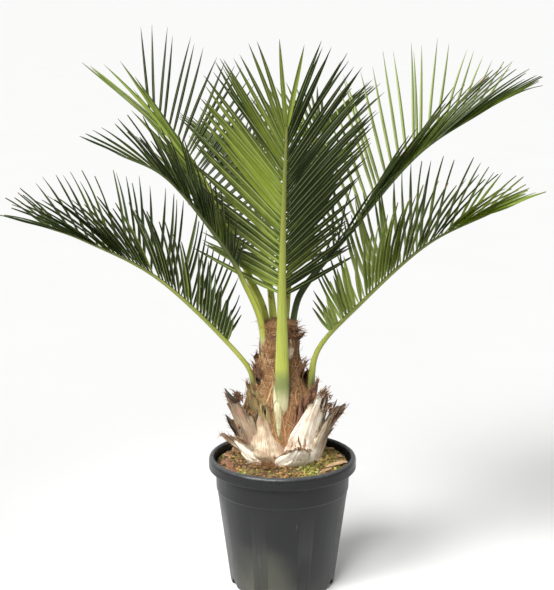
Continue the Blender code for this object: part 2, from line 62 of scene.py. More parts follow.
# Pot, the same sizes as in the CAD
ROUND_SIDES = 160
CENTRE_DISC = 0.02
RIM_RADIUS = 0.190
RIM_TOP = 0.344
LIP_DROP = 0.032
LIP_OVERHANG = 0.017
LIP_INNER_RADIUS = 0.176
COLLAR_HEIGHT = 0.056
LEDGE = 0.002
BASE_RADIUS = 0.136
WALL = 0.003
FLOOR = 0.005
FLOOR_NARROWING = 0.002
FOOT_HEIGHT = 0.006
FOOT_STEP = 0.004
ROUNDING = 0.004
LIP_ROUNDING = 0.009
EDGE_ROUNDING = 0.0022
CORNER_STEPS = 4
MOST_ROUNDED = 0.48
DRAINS = 8
DRAIN_TURN = 202
DRAIN_WIDTH = 0.036
DRAIN_HEIGHT = 0.020
DRAIN_REACH = 0.030
DRAIN_ARCH = 0.45
POT_GAP = 0.0004
DUST_PLACE = (-0.050, -0.140, 0.040)

# Soil, the same sizes as in the CAD, and what lies on it
SOIL_EDGE_HEIGHT = 0.320
SOIL_MOUND = 0.018
MOUND_RADII = (0.105, 0.165)
SOIL_RELIEF = 0.002
SOIL_ROWS = 44
CLOD_HEIGHT = 0.0030
CLODS_A_METRE = 60
CRUMB_HEIGHT = 0.0016
CRUMBS_A_METRE = 210
STEM_HOLE_RADIUS = 0.088
STEM_HOLE_FLOOR = 0.245
SOIL_HEAP = 0.009
HEAP_RADII = (0.118, 0.150)
SPOT_INNER_RADIUS = 0.098
SPOT_MARGIN = 0.005
GRAINS = 1900
GRAIN_SIZES = (0.0022, 0.0056)
GRAIN_DENTS = (0.72, 1.22)
GRAIN_WIDTHS = (0.7, 1.3)
GRAIN_HEIGHTS = (0.45, 0.8)
GRAIN_LIFT = 0.25
MOSS_TUFTS = 420
MOSS_SHOOTS = (5, 9)
MOSS_SPREAD = 0.0022
MOSS_ROOT = 0.001
MOSS_LEAN = 0.35
MOSS_LENGTHS = (0.003, 0.0065)
MOSS_RADII = (0.0007, 0.0013)
CHIP_ROWS = 12
CHIP_SIDES = 12
CHIP_HALF_THICKNESS = 0.0035
CHIP_LIFT = 0.0045
CHIP_TILT = 0.10
CHIP_BEND = 0.003
CHIPS = (
    # length, azimuth, distance from the middle, turn, width, tone from red brown to tan
    (0.068, -24, 0.138, 24, 0.016, 0.95),
    (0.050, -6, 0.146, -32, 0.015, 0.9),
    (0.044, 14, 0.146, -52, 0.012, 1.0),
    (0.040, -42, 0.146, 38, 0.008, 1.0),
    (0.030, -12, 0.152, 70, 0.009, 0.7),
    (0.040, 75, 0.140, 50, 0.014, 0.5),
    (0.038, 200, 0.146, 110, 0.020, 0.1),
    (0.036, 186, 0.146, 60, 0.017, 0.15),
    (0.034, 213, 0.152, 140, 0.014, 0.0),
    (0.030, 172, 0.142, 140, 0.014, 0.25),
    (0.022, 262, 0.152, 10, 0.008, 0.6),
    (0.026, 300, 0.156, 70, 0.007, 0.7),
    (0.030, 120, 0.140, 15, 0.012, 0.3),
    (0.028, 150, 0.146, 80, 0.011, 0.4),
    (0.036, 34, 0.144, -20, 0.010, 0.9),
    (0.024, 240, 0.156, 25, 0.006, 0.4),
)


def smooth_step(x, low, high):
    """0 below low, 1 above high, and smooth between."""
    share = min(1, max(0, (x - low) / (high - low)))
    return share * share * (3 - 2 * share)


def interpolate(pairs, x):
    """The second number of pairs at a place along their first numbers."""
    return float(np.interp(x, [pair[0] for pair in pairs], [pair[1] for pair in pairs]))


def rough_at(x, y, z):
    """Smooth noise at a place, from about -1 to 1."""
    return noise.noise(Vector((x, y, z)))


def on_circle(radius, angle, height=0.0):
    """A point at an angle round the upright axis; with radius 1, the direction outwards there."""
    return Vector((radius * math.cos(angle), radius * math.sin(angle), height))


def jitter(draw, flat, upright=0.0):
    """A random nudge, as much as flat to the sides and as much as upright up or down."""
    return Vector((draw.gauss(0, flat), draw.gauss(0, flat), draw.gauss(0, upright) if upright else 0))


# Shader maths

class Value:
    """Something that varies over a surface. Arithmetic on it adds Math nodes to its recipe."""

    def __init__(self, recipe, socket):
        self.recipe = recipe
        self.socket = socket

    def math(self, operation, *values):
        return self.recipe.node("Math", {"operation": operation}, dict(enumerate(values)))

    def __add__(self, other):
        return self.math("ADD", self, other)

    def __sub__(self, other):
        return self.math("SUBTRACT", self, other)

    def __rsub__(self, other):
        return self.math("SUBTRACT", other, self)

    def __mul__(self, other):
        return self.math("MULTIPLY", self, other)

    __radd__ = __add__
    __rmul__ = __mul__

    def size(self):
        return self.math("ABSOLUTE", self)

    def wave(self):
        return self.math("SINE", self)

    def rise(self, low, high):
        """0 below low, 1 above high, and smooth between; high may be the smaller one."""
        ends = {0: self, 1: min(low, high), 2: max(low, high)}
        risen = self.recipe.node("MapRange", {"interpolation_type": "SMOOTHSTEP"}, ends)
        return risen if low < high else 1 - risen


class Recipe:
    """A material and the nodes that make its finish."""

    def __init__(self, name):
        self.material = bpy.data.materials.new(name)
        self.material.use_nodes = True
        self.tree = self.material.node_tree
        self.shader = self.tree.nodes["Principled BSDF"]
        coordinates = self.tree.nodes.new("ShaderNodeTexCoord")
        self.place = Value(self, coordinates.outputs["Object"])

    def feed(self, socket, value):
        if isinstance(value, Value):
            self.tree.links.new(value.socket, socket)
        elif isinstance(value, tuple) and len(value) == 3 and socket.type == "RGBA":
            socket.default_value = (*value, 1)
        else:
            socket.default_value = value

    def node(self, kind, settings, inputs, output=0):
        """A node from its type, its settings, which are set first, and its sockets' values or links."""
        made = self.tree.nodes.new(f"ShaderNode{kind}")
        for name, value in settings.items():
            setattr(made, name, value)
        for key, value in inputs.items():
            self.feed(made.inputs[key], value)
        return Value(self, made.outputs[output])

    def marks(self, *names):
        """Numbers that the mesh holds for each of its points."""
        return [self.node("Attribute", {"attribute_name": name}, {}, "Fac") for name in names]

    def stretched(self, scale):
        return self.node("VectorMath", {"operation": "MULTIPLY"}, {0: self.place, 1: scale})

    def axis(self, name):
        return self.node("SeparateXYZ", {}, {0: self.place}, name)

    def joined(self, x, y, z):
        return self.node("CombineXYZ", {}, {0: x, 1: y, 2: z})

    def noise(self, scale, where=None, detail=3.0, roughness=0.55):
        inputs = {"Vector": where or self.place, "Scale": scale, "Detail": detail, "Roughness": roughness}
        return self.node("TexNoise", {}, inputs, "Fac")

    def cells(self, scale):
        return self.node("TexVoronoi", {}, {"Vector": self.place, "Scale": scale}, "Distance")

    def blend(self, share, first, second):
        """A colour between two colours."""
        made = self.tree.nodes.new("ShaderNodeMix")
        made.data_type = "RGBA"
        self.feed(made.inputs[0], share)
        self.feed(made.inputs[6], first)
        self.feed(made.inputs[7], second)
        return Value(self, made.outputs[2])

    def coats(self, colour, *coats):
        """A colour with coats over it, each given as how much it covers and its colour."""
        for cover, coat in coats:
            colour = self.blend(cover, colour, coat)
        return colour

    def ramp(self, value, *stops):
        """A colour that runs through stops, each given as its place from 0 to 1 and its colour."""
        colour = self.node("ValToRGB", {}, {0: value})
        elements = colour.socket.node.color_ramp.elements
        for element, (place, shade) in zip(elements, stops):
            element.position = place
            element.color = (*shade, 1)
        for place, shade in stops[2:]:
            elements.new(place).color = (*shade, 1)
        return colour

    def bump(self, height, strength, distance):
        return self.node("Bump", {}, {"Height": height, "Strength": strength, "Distance": distance})

    def finish(self, **sockets):
        """Feed the shader and give back the material."""
        for name, value in sockets.items():
            self.feed(self.shader.inputs[name.replace("_", " ")], value)
        return self.material

    def let_light_through(self, colour, share):
        """Mix in a thin sheet's glow when it is lit from behind."""
        glow = self.tree.nodes.new("ShaderNodeBsdfTranslucent")
        glow.inputs["Color"].default_value = (*colour, 1)
        mixer = self.tree.nodes.new("ShaderNodeMixShader")
        mixer.inputs[0].default_value = share
        self.tree.links.new(self.shader.outputs[0], mixer.inputs[1])
        self.tree.links.new(glow.outputs[0], mixer.inputs[2])
        self.tree.links.new(mixer.outputs[0], self.tree.nodes["Material Output"].inputs[0])


def leaf_finish(name, under):
    """Blade of a leaflet: veins along it, a pale midrib, a browned tip and a waxy sheen."""
    recipe = Recipe(name)
    along, across, tone, age = recipe.marks("along", "across", "tone", "age")
    mottle = recipe.noise(38, detail=4)
    # The tone mark paints in light and shade: leaflets that face the light are lighter, shaded ones darker.
    depth = (tone * 0.85 + (mottle - 0.5) * 0.5 + (0.35 - along) * 0.35).rise(0, 1)
    dark = (0.006, 0.017, 0.009) if under else (0.0035, 0.0120, 0.0060)
    bright = (0.290, 0.370, 0.042) if under else (0.230, 0.320, 0.022)
    shaded_half = across.rise(-0.12, 0.12)
    veins = (across * 46).wave() * 0.5 + 0.5
    midrib = across.size().rise(0.20, 0.07)
    margin = across.size().rise(0.90, 1.0)
    scorch = (along + age * 0.05 + mottle * 0.05).rise(1.00, 1.05)
    specks = recipe.noise(420, detail=2).rise(0.70, 0.76)
    colour = recipe.coats(
        recipe.blend(depth, dark, bright),
        # Tones above 1 paint in the pale glow of leaflets lit through from behind.
        (tone.rise(1.0, 1.8), (0.46, 0.56, 0.20)),
        (shaded_half * (0.62 - tone * 0.20), dark),
        (veins * 0.14, bright),
        (midrib * (0.85 if under else 0.45), (0.40, 0.47, 0.19)),
        (margin * 0.45, (0.27, 0.33, 0.13)),
        (scorch, (0.21, 0.13, 0.055)),
        (specks * 0.35, (0.12, 0.10, 0.03)))
    roughness = mottle * 0.14 + (0.50 if under else 0.30)
    bump = recipe.bump(veins * 0.5 + mottle, 0.25, 0.0006)
    shine = 0.20 if under else 0.26
    recipe.let_light_through((0.26, 0.42, 0.05), 0.07)
    return recipe.finish(Base_Color=colour, Roughness=roughness, Normal=bump, Specular_IOR_Level=shine)


def stalk_finish():
    """Stalk and midrib of a frond: smooth yellow green, streaked lengthwise, pale at its foot.

    Its age mark is 1 on the low stalks, which are olive and shaded near the stem, and 0 on the others.
    """
    recipe = Recipe("frond stalk")
    along, across, tone, low = recipe.marks("along", "across", "tone", "age")
    streak = recipe.noise(3.2, recipe.joined(across * 9, along * 3, tone * 5), detail=5)
    cloud = recipe.noise(24, detail=3)
    dimming = low * along.rise(0.45, 0.95) * 0.18
    lit_stalk = tone.rise(0.08, 0.14) * (0.75 - low * 0.17 - tone) * along.rise(0.42, 0.24)
    light = tone + lit_stalk - dimming
    shadow = (along + cloud * 0.03).rise(0.21, 0.15) * low
    foot = (along + cloud * 0.05 + (1 - low) * 0.03).rise(0.155, 0.095)
    rust = (cloud * 0.6 + streak * 0.4).rise(0.60, 0.74) * along.rise(0.30, 0.0)
    blotch = recipe.noise(52, recipe.stretched((1, 1, 0.5)), detail=2).rise(0.69, 0.75)
    scurf = recipe.noise(300, detail=3).rise(0.60, 0.72)
    colour = recipe.coats(
        recipe.blend(light.rise(0, 1), (0.030, 0.055, 0.014), (0.360, 0.400, 0.035)),
        (streak.rise(0.35, 0.70) * light.rise(-0.2, 0.8) * 0.55, (0.520, 0.530, 0.130)),
        (shadow * 0.85, (0.115, 0.140, 0.042)),
        (foot, recipe.blend(streak.rise(0.3, 0.7), (0.21, 0.20, 0.09), (0.52, 0.49, 0.29))),
        (rust * 0.5, (0.22, 0.14, 0.06)),
        (blotch * along.rise(0.50, 0.10) * 0.8, (0.150, 0.055, 0.012)),
        (scurf * 0.22, (0.16, 0.14, 0.06)))
    bump = recipe.bump(streak + cloud * 0.4, 0.30, 0.0012)
    return recipe.finish(Base_Color=colour, Roughness=streak * 0.2 + 0.34, Normal=bump)


def fibre_finish():
    """Woven sheath fibre: red brown to straw, paler at its ends."""
    recipe = Recipe("sheath fibre")
    tone, along = recipe.marks("tone", "along")
    fleck = recipe.noise(160, detail=3)
    fibre = recipe.ramp(
        tone * 0.8 + fleck * 0.35 - 0.08,
        (0.0, (0.060, 0.027, 0.012)), (0.35, (0.235, 0.102, 0.038)), (0.65, (0.395, 0.218, 0.084)),
        (1.0, (0.560, 0.440, 0.250)))
    colour = recipe.blend(along.rise(0.8, 1.0) * 0.4, fibre, (0.40, 0.33, 0.22))
    bump = recipe.bump(fleck, 0.4, 0.0008)
    return recipe.finish(Base_Color=colour, Roughness=0.82, Normal=bump)


def core_finish():
    """The stem under the fibre: felted brown, olive at the left shoulder, with straw patches."""
    recipe = Recipe("stem felt")
    weave = recipe.noise(150, recipe.stretched((1, 1, 0.35)), detail=5, roughness=0.7)
    patch = recipe.noise(17, detail=3)
    left = (recipe.axis("X") + (patch - 0.5) * 0.06).rise(0.01, -0.02)
    colour = recipe.coats(
        recipe.blend(weave, (0.080, 0.034, 0.013), (0.345, 0.172, 0.062)),
        (recipe.axis("Z").rise(0.56, 0.50) * left,
         recipe.blend(weave, (0.085, 0.060, 0.018), (0.330, 0.255, 0.090))),
        (patch.rise(0.55, 0.75) * 0.5, (0.42, 0.33, 0.20)))
    bump = recipe.bump(weave, 0.9, 0.003)
    return recipe.finish(Base_Color=colour, Roughness=0.9, Normal=bump)


def leaf_base_finish():
    """Old leaf bases: cream where fresh, weathered grey brown, ribbed with fibre, dark where torn."""
    recipe = Recipe("old leaf base")
    along, across, tone, age = recipe.marks("along", "across", "tone", "age")
    place = recipe.joined(across * 13, along * 1.6, age * 7)
    streak = recipe.noise(2.2, place, detail=6, roughness=0.65)
    patch = recipe.noise(34, detail=4)
    flush = patch.rise(0.48, 0.72) * 0.34 + streak.rise(0.60, 0.72) * 0.16
    torn = (along + (streak - 0.5) * 0.35).rise(0.88, 1.04)
    moss = recipe.noise(55, detail=3).rise(0.62, 0.74) * (1 - tone)
    weathered = recipe.ramp(
        (1 - tone + (patch - 0.5) * 0.8 + (streak - 0.5) * 0.9 + along * 0.25).rise(0.0, 1.1),
        (0.0, (0.900, 0.830, 0.690)), (0.30, (0.700, 0.590, 0.440)), (0.62, (0.380, 0.280, 0.175)),
        (1.0, (0.140, 0.092, 0.056)))
    colour = recipe.coats(
        weathered,
        (flush, (0.580, 0.290, 0.200)),
        (torn * 0.75, (0.125, 0.105, 0.070)),
        (moss * 0.5, (0.16, 0.19, 0.055)))
    bump = recipe.bump(streak * 1.2 + patch * 0.5, 0.8, 0.0025)
    return recipe.finish(Base_Color=colour, Roughness=0.86, Normal=bump)


def torn_sheath_finish():
    """Torn sheath on the stem: matted lengthwise fibre, red brown, olive on the left, straw where fresh."""
    recipe = Recipe("torn sheath")
    along, across, tone, age = recipe.marks("along", "across", "tone", "age")
    place = recipe.joined(across * 17, along * 1.3, age * 7)
    streak = recipe.noise(2.6, place, detail=6, roughness=0.7)
    patch = recipe.noise(26, detail=3)
    pale = tone * 0.9 + (streak - 0.5) * 1.3 + (patch - 0.5) * 0.5 + 0.12
    red = recipe.ramp(
        pale, (0.0, (0.045, 0.020, 0.011)), (0.40, (0.230, 0.105, 0.052)), (0.70, (0.420, 0.270, 0.150)),
        (1.0, (0.740, 0.660, 0.520)))
    olive = recipe.ramp(
        pale, (0.0, (0.050, 0.034, 0.013)), (0.40, (0.235, 0.165, 0.060)), (0.70, (0.400, 0.330, 0.150)),
        (1.0, (0.740, 0.680, 0.520)))
    left = (recipe.axis("X") + (patch - 0.5) * 0.05).rise(0.005, -0.03) * recipe.axis("Z").rise(0.58, 0.52)
    bump = recipe.bump(streak, 0.9, 0.003)
    return recipe.finish(Base_Color=recipe.blend(left, red, olive), Roughness=0.88, Normal=bump)


def soil_finish():
    """Potting mix: dark crumbs with ochre bits, green where moss has taken."""
    recipe = Recipe("potting mix")
    crumb = recipe.noise(260, detail=5, roughness=0.7)
    lump = recipe.cells(190)
    patch = recipe.noise(20, detail=3)
    colour = recipe.coats(
        recipe.blend(crumb.rise(0.35, 0.75), (0.030, 0.018, 0.010), (0.240, 0.150, 0.050)),
        (patch.rise(0.45, 0.60) * 0.55, (0.170, 0.190, 0.040)),
        (lump.rise(0.55, 0.25) * 0.3, (0.30, 0.22, 0.07)))
    bump = recipe.bump(crumb + lump, 1.0, 0.003)
    return recipe.finish(Base_Color=colour, Roughness=0.95, Normal=bump)


def grain_finish():
    """Loose granules: dark humus, ochre grit and green crumbs, one tone each."""
    recipe = Recipe("soil granules")
    tone, = recipe.marks("tone")
    crumb = recipe.noise(500, detail=3)
    colour = recipe.ramp(
        tone * 0.92 + crumb * 0.1,
        (0.0, (0.040, 0.020, 0.012)), (0.24, (0.165, 0.078, 0.032)), (0.50, (0.400, 0.235, 0.070)),
        (0.70, (0.330, 0.345, 0.060)), (1.0, (0.700, 0.590, 0.340)))
    bump = recipe.bump(crumb, 0.6, 0.001)
    return recipe.finish(Base_Color=colour, Roughness=0.92, Normal=bump)


def moss_finish():
    """Moss shoots: dark to yellow green, each paler towards its tip."""
    recipe = Recipe("moss")
    tone, along = recipe.marks("tone", "along")
    grit = recipe.noise(900, detail=2)
    shoot = recipe.blend(tone, (0.075, 0.125, 0.018), (0.300, 0.360, 0.050))
    colour = recipe.blend(along * 0.6, shoot, (0.440, 0.470, 0.100))
    bump = recipe.bump(grit, 0.4, 0.0005)
    return recipe.finish(Base_Color=colour, Roughness=grit * 0.2 + 0.7, Normal=bump)


def bark_finish():
    """Bark chips: lengthwise grain, from red brown to split tan wood."""
    recipe = Recipe("bark chips")
    along, across, tone = recipe.marks("along", "across", "tone")
    grain = recipe.noise(3.5, recipe.joined(across * 6, along * 1.5, tone * 9), detail=6, roughness=0.6)
    red = recipe.blend(grain, (0.085, 0.030, 0.018), (0.330, 0.145, 0.085))
    tan = recipe.blend(grain, (0.330, 0.190, 0.080), (0.690, 0.500, 0.290))
    bump = recipe.bump(grain, 0.8, 0.002)
    return recipe.finish(Base_Color=recipe.blend(tone, red, tan), Roughness=0.85, Normal=bump)


def pot_finish():
    """Moulded black plastic: satin, scuffed up and down, dusty low down, with a painted highlight along the
    lip.
    """
    recipe = Recipe("black pot plastic")
    height = recipe.axis("Z")
    streaks = recipe.noise(60, recipe.stretched((1, 1, 0.06)), detail=5)
    cloud = recipe.noise(9, detail=4)
    fine = recipe.noise(700, detail=2)
    away = recipe.node("VectorMath", {"operation": "DISTANCE"}, {0: recipe.place, 1: DUST_PLACE}, "Value")
    dust = (away + (cloud - 0.5) * 0.12).rise(0.13, 0.03) * 0.55 + height.rise(0.06, 0.0) * cloud * 0.4
    scuffs = streaks.rise(0.64, 0.74) * cloud.rise(0.40, 0.60)
    # Painted highlight: a pale grey band over the rounded top of the lip.
    painted_lip_highlight = height.rise(RIM_TOP - LIP_ROUNDING, RIM_TOP) * (cloud * 0.4 + 0.22)
    worn_lip = height.rise(RIM_TOP - 0.030, RIM_TOP - 0.008)
    colour = recipe.coats(
        recipe.blend(cloud, (0.006, 0.0063, 0.0068), (0.013, 0.0133, 0.0140)),
        (dust, (0.085, 0.085, 0.062)),
        (scuffs * 0.35, (0.170, 0.175, 0.180)),
        (painted_lip_highlight, (0.130, 0.135, 0.138)))
    roughness = cloud * 0.14 + streaks * 0.16 + 0.22 - worn_lip * 0.10
    bump = recipe.bump(fine * 0.25 + streaks * 0.6 + cloud, 0.22, 0.002)
    return recipe.finish(Base_Color=colour, Roughness=roughness, Normal=bump, Specular_IOR_Level=0.34)


def floor_finish():
    """The studio's pale floor, very slightly clouded."""
    recipe = Recipe("pale floor")
    cloud = recipe.noise(1.4, detail=3)
    colour = recipe.blend(cloud, (0.86, 0.86, 0.855), (0.88, 0.88, 0.875))
    bump = recipe.bump(cloud, 0.05, 0.002)
    return recipe.finish(Base_Color=colour, Roughness=cloud * 0.1 + 0.8, Normal=bump)


# Meshes

def add_to_scene(name, data, place=(0, 0, 0)):
    """A new object in the scene."""
    item = bpy.data.objects.new(name, data)
    item.location = place
    bpy.context.scene.collection.objects.link(item)
    return item


def faces_between(rows, columns):
    """Four-sided faces between closed rings of points, each ring with as many points as columns."""
    faces = []
    for row in range(rows - 1):
        for column in range(columns):
            a = row * columns + column
            b = row * columns + (column + 1) % columns
            faces.append((a, b, b + columns, a + columns))
    return faces


class Skin:
    """Points and faces gathered for one piece, with numbers at each point that its finishes read."""

    def __init__(self, *marks):
        self.points = []
        self.faces = []
        self.finishes = []
        self.marks = {mark: [] for mark in marks}
        self.count = 0

    def add(self, points, faces, finishes, **marks):
        points = np.asarray(points, float).reshape(-1, 3)
        self.points.append(points)
        self.faces += [tuple(index + self.count for index in face) for face in faces]
        self.finishes += finishes
        for name, kept in self.marks.items():
            kept.append(np.broadcast_to(np.asarray(marks.get(name, 0), float).ravel(), len(points)))
        self.count += len(points)

    def add_loft(self, rings, along=None, across=0, finishes=None, **marks):
        """A closed skin over rings, which is rows x columns x 3, with its ends closed flat.

        along has a mark for each ring, from 0 to 1 if not given, across has one for each column, and
        finishes has the number of a material for each column.
        """
        rings = np.asarray(rings, float)
        rows, columns = rings.shape[:2]
        faces = faces_between(rows, columns)
        faces.append(tuple(range(columns - 1, -1, -1)))
        faces.append(tuple(range((rows - 1) * columns, rows * columns)))
        finishes = finishes or [0] * columns
        marks["along"] = np.repeat(np.linspace(0, 1, rows) if along is None else along, columns)
        marks["across"] = np.tile(np.broadcast_to(across, columns), rows)
        self.add(rings, faces, finishes * (rows - 1) + [finishes[0]] * 2, **marks)

    def piece(self, name, materials, node_slot, sharp=45):
        """The finished object, which rides on the part's one body."""
        mesh = bpy.data.meshes.new(name)
        mesh.from_pydata(np.concatenate(self.points).tolist(), [], self.faces)
        for material in materials:
            mesh.materials.append(material)
        mesh.polygons.foreach_set("material_index", self.finishes)
        for mark, kept in self.marks.items():
            layer = mesh.attributes.new(mark, "FLOAT", "POINT")
            layer.data.foreach_set("value", np.concatenate(kept).astype(np.float32))
        mesh.update()
        mesh.shade_smooth()
        mesh.set_sharp_from_angle(angle=math.radians(sharp))
        item = add_to_scene(name, mesh)
        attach(item, "root")
        return item


def ring_angles(sides):
    """Evenly spaced angles round a ring."""
    return np.linspace(0, math.tau, sides, endpoint=False)


def turned_rings(profile, sides=ROUND_SIDES):
    """Rings of a turned form from its (radius, height) points."""
    angles = ring_angles(sides)
    ring = np.stack([np.cos(angles), np.sin(angles), np.zeros(sides)], axis=1)
    return np.array([ring * radius + (0, 0, height) for radius, height in profile])


def thin_ring(middle, side, other, radius):
    """Three points round a strand, in the plane of two directions."""
    return [middle + (side * math.cos(a) + other * math.sin(a)) * radius for a in ring_angles(3)]


def there_and_back(places):
    """Places across a sheet's front and then back across its rear."""
    return np.concatenate([places, places[::-1]])


def sheet_rings(fronts, backs):
    """Rings round a thin sheet from the rows of points on its two faces."""
    return [[*front, *reversed(back)] for front, back in zip(fronts, backs)]


def rounded_corner(before, corner, after, size):
    """Points of a rounded corner between two straight stretches of a profile."""
    before, corner, after = (np.array(point, float) for point in (before, corner, after))
    start = corner + (before - corner) * min(MOST_ROUNDED, size / np.linalg.norm(before - corner))
    end = corner + (after - corner) * min(MOST_ROUNDED, size / np.linalg.norm(after - corner))
    curve = []
    for k in range(CORNER_STEPS + 1):
        t = k / CORNER_STEPS
        curve.append(tuple(start * (1 - t) ** 2 + corner * (2 * t * (1 - t)) + end * t ** 2))
    return curve


def rounded_profile(points, size):
    """A profile through points, with its corners rounded."""
    inner = [rounded_corner(a, b, c, size) for a, b, c in zip(points, points[1:], points[2:])]
    return [points[0], *(point for curve in inner for point in curve), points[-1]]


# Pot

def pot_wall():
    """The pot's outer wall from under the lip to the ground."""
    collar_radius = RIM_RADIUS - LIP_OVERHANG
    lip_foot = RIM_TOP - LIP_DROP
    ledge_height = lip_foot - COLLAR_HEIGHT
    return (
        (collar_radius, lip_foot),
        (collar_radius - LEDGE, ledge_height + LEDGE),
        (collar_radius - 2 * LEDGE, ledge_height),
        (BASE_RADIUS, FOOT_HEIGHT),
        (BASE_RADIUS - FOOT_STEP, 0),
    )


def make_pot(plastic):
    """The pot: one turned shell with drain notches cut into its bottom corner."""
    wall = pot_wall()
    lip = (
        (LIP_INNER_RADIUS, RIM_TOP - LIP_DROP),
        (LIP_INNER_RADIUS, RIM_TOP - ROUNDING),
        (LIP_INNER_RADIUS + ROUNDING, RIM_TOP),
        (RIM_RADIUS - LIP_ROUNDING, RIM_TOP),
        (RIM_RADIUS - 0.3 * LIP_ROUNDING, RIM_TOP - 0.3 * LIP_ROUNDING),
        (RIM_RADIUS, RIM_TOP - LIP_ROUNDING),
        (RIM_RADIUS, RIM_TOP - LIP_DROP + LEDGE),
        (RIM_RADIUS - LEDGE, RIM_TOP - LIP_DROP),
    )
    inside = (
        (BASE_RADIUS - WALL - FLOOR_NARROWING, FLOOR),
        (wall[2][0] - WALL, wall[2][1]),
        (wall[0][0] - WALL, wall[0][1]),
    )
    corners = [(CENTRE_DISC, FLOOR), *inside, *lip, *wall, (CENTRE_DISC, 0)]
    skin = Skin()
    skin.add_loft(turned_rings(rounded_profile(corners, EDGE_ROUNDING)))
    pot = skin.piece("pot_shell", [plastic], "pot", sharp=35)
    for k in range(DRAINS):
        cut_drain(pot, math.radians(DRAIN_TURN) + math.tau * k / DRAINS)
    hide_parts("pot")


def cut_drain(pot, angle):
    """One drain notch in the pot's bottom corner, with an arched top."""
    builder = bmesh.new()
    bmesh.ops.create_cube(builder, size=1)
    bmesh.ops.scale(builder, vec=(DRAIN_REACH, DRAIN_WIDTH, 2 * DRAIN_HEIGHT), verts=builder.verts)
    upper = [edge for edge in builder.edges if all(v.co.z > 0 for v in edge.verts) and
             abs(edge.verts[0].co.x - edge.verts[1].co.x) > DRAIN_REACH / 2]
    bmesh.ops.bevel(builder, geom=upper, offset=DRAIN_ARCH * DRAIN_HEIGHT, segments=4, affect="EDGES")
    mesh = bpy.data.meshes.new("drain")
    builder.to_mesh(mesh)
    builder.free()
    cutter = add_to_scene("drain", mesh, on_circle(BASE_RADIUS, angle))
    cutter.rotation_euler.z = angle
    cut = pot.modifiers.new("Drain", "BOOLEAN")
    cut.operation = "DIFFERENCE"
    cut.solver = "EXACT"
    cut.object = cutter
    bake(pot)
    bpy.data.objects.remove(cutter, do_unlink=True)


def bake(item):
    """Turn an object's modifiers into plain mesh."""
    bpy.context.view_layer.update()
    graph = bpy.context.evaluated_depsgraph_get()
    mesh = bpy.data.meshes.new_from_object(item.evaluated_get(graph))
    item.modifiers.clear()
    item.data = mesh


# Soil

def soil_height(x, y):
    """The soil's surface as in the CAD: a mound round the stem with low ripples."""
    radius = math.hypot(x, y)
    mound = SOIL_MOUND * float(np.interp(radius, MOUND_RADII, (1, 0)))
    ripple = math.sin(61 * x + 1.3) * math.cos(53 * y - 0.4) + 0.6 * math.sin(97 * x + 83 * y)
    return SOIL_EDGE_HEIGHT + mound + SOIL_RELIEF * ripple


def crumbly_height(x, y):
    """The same surface with crumbs and small clods, heaped against the leaf bases."""
    clod = CLOD_HEIGHT * rough_at(x * CLODS_A_METRE, y * CLODS_A_METRE, 2.0)
    crumb = CRUMB_HEIGHT * rough_at(x * CRUMBS_A_METRE, y * CRUMBS_A_METRE, 7.0)
    heap = SOIL_HEAP * float(np.interp(math.hypot(x, y), HEAP_RADII, (1, 0)))
    return soil_height(x, y) + clod + crumb + heap


def soil_outer_radius():
    """How far the soil's surface reaches, to just inside the pot's wall."""
    return RIM_RADIUS - LIP_OVERHANG - WALL - POT_GAP


def make_soil(earth):
    """The bed of potting mix, with a crumbly surface and a hole for the stem."""
    wall = pot_wall()
    outer = (
        (wall[0][0] - WALL - POT_GAP, wall[0][1]),
        (wall[2][0] - WALL - POT_GAP, wall[2][1]),
        (BASE_RADIUS - WALL - FLOOR_NARROWING - 2 * POT_GAP, FLOOR + POT_GAP),
        (CENTRE_DISC, FLOOR + POT_GAP),
    )
    hole = ((CENTRE_DISC, STEM_HOLE_FLOOR), (STEM_HOLE_RADIUS, STEM_HOLE_FLOOR))
    radii = np.linspace(STEM_HOLE_RADIUS, soil_outer_radius(), SOIL_ROWS)
    surface = [(radius, SOIL_EDGE_HEIGHT) for radius in radii]
    rings = turned_rings((*hole, *surface, *outer), 2 * ROUND_SIDES)
    for ring in rings[len(hole):len(hole) + SOIL_ROWS]:
        for point in ring:
            point[2] = crumbly_height(point[0], point[1])
    skin = Skin()
    skin.add_loft(rings)
    soil = skin.piece("soil_bed", [earth], "soil")
    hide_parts("soil")


def ball_shape():
    """Corner points and faces of a small ball, to be dented into granules."""
    builder = bmesh.new()
    bmesh.ops.create_icosphere(builder, subdivisions=1, radius=1)
    points = np.array([vertex.co[:] for vertex in builder.verts])
    faces = [tuple(vertex.index for vertex in face.verts) for face in builder.faces]
    builder.free()
    return points, faces


def soil_spot(draw):
    """A random place on the soil between the stem and the pot's wall."""
    outer = soil_outer_radius() - SPOT_MARGIN
    radius = math.sqrt(draw.uniform(SPOT_INNER_RADIUS * SPOT_INNER_RADIUS, outer * outer))
    angle = draw.uniform(0, math.tau)
    return radius * math.cos(angle), radius * math.sin(angle)


def mossy(x, y):
    """How much moss grows at a place, from 0 to 1."""
    return smooth_step(rough_at(x * 16 + 3, y * 16, 0.5), -0.25, 0.35)


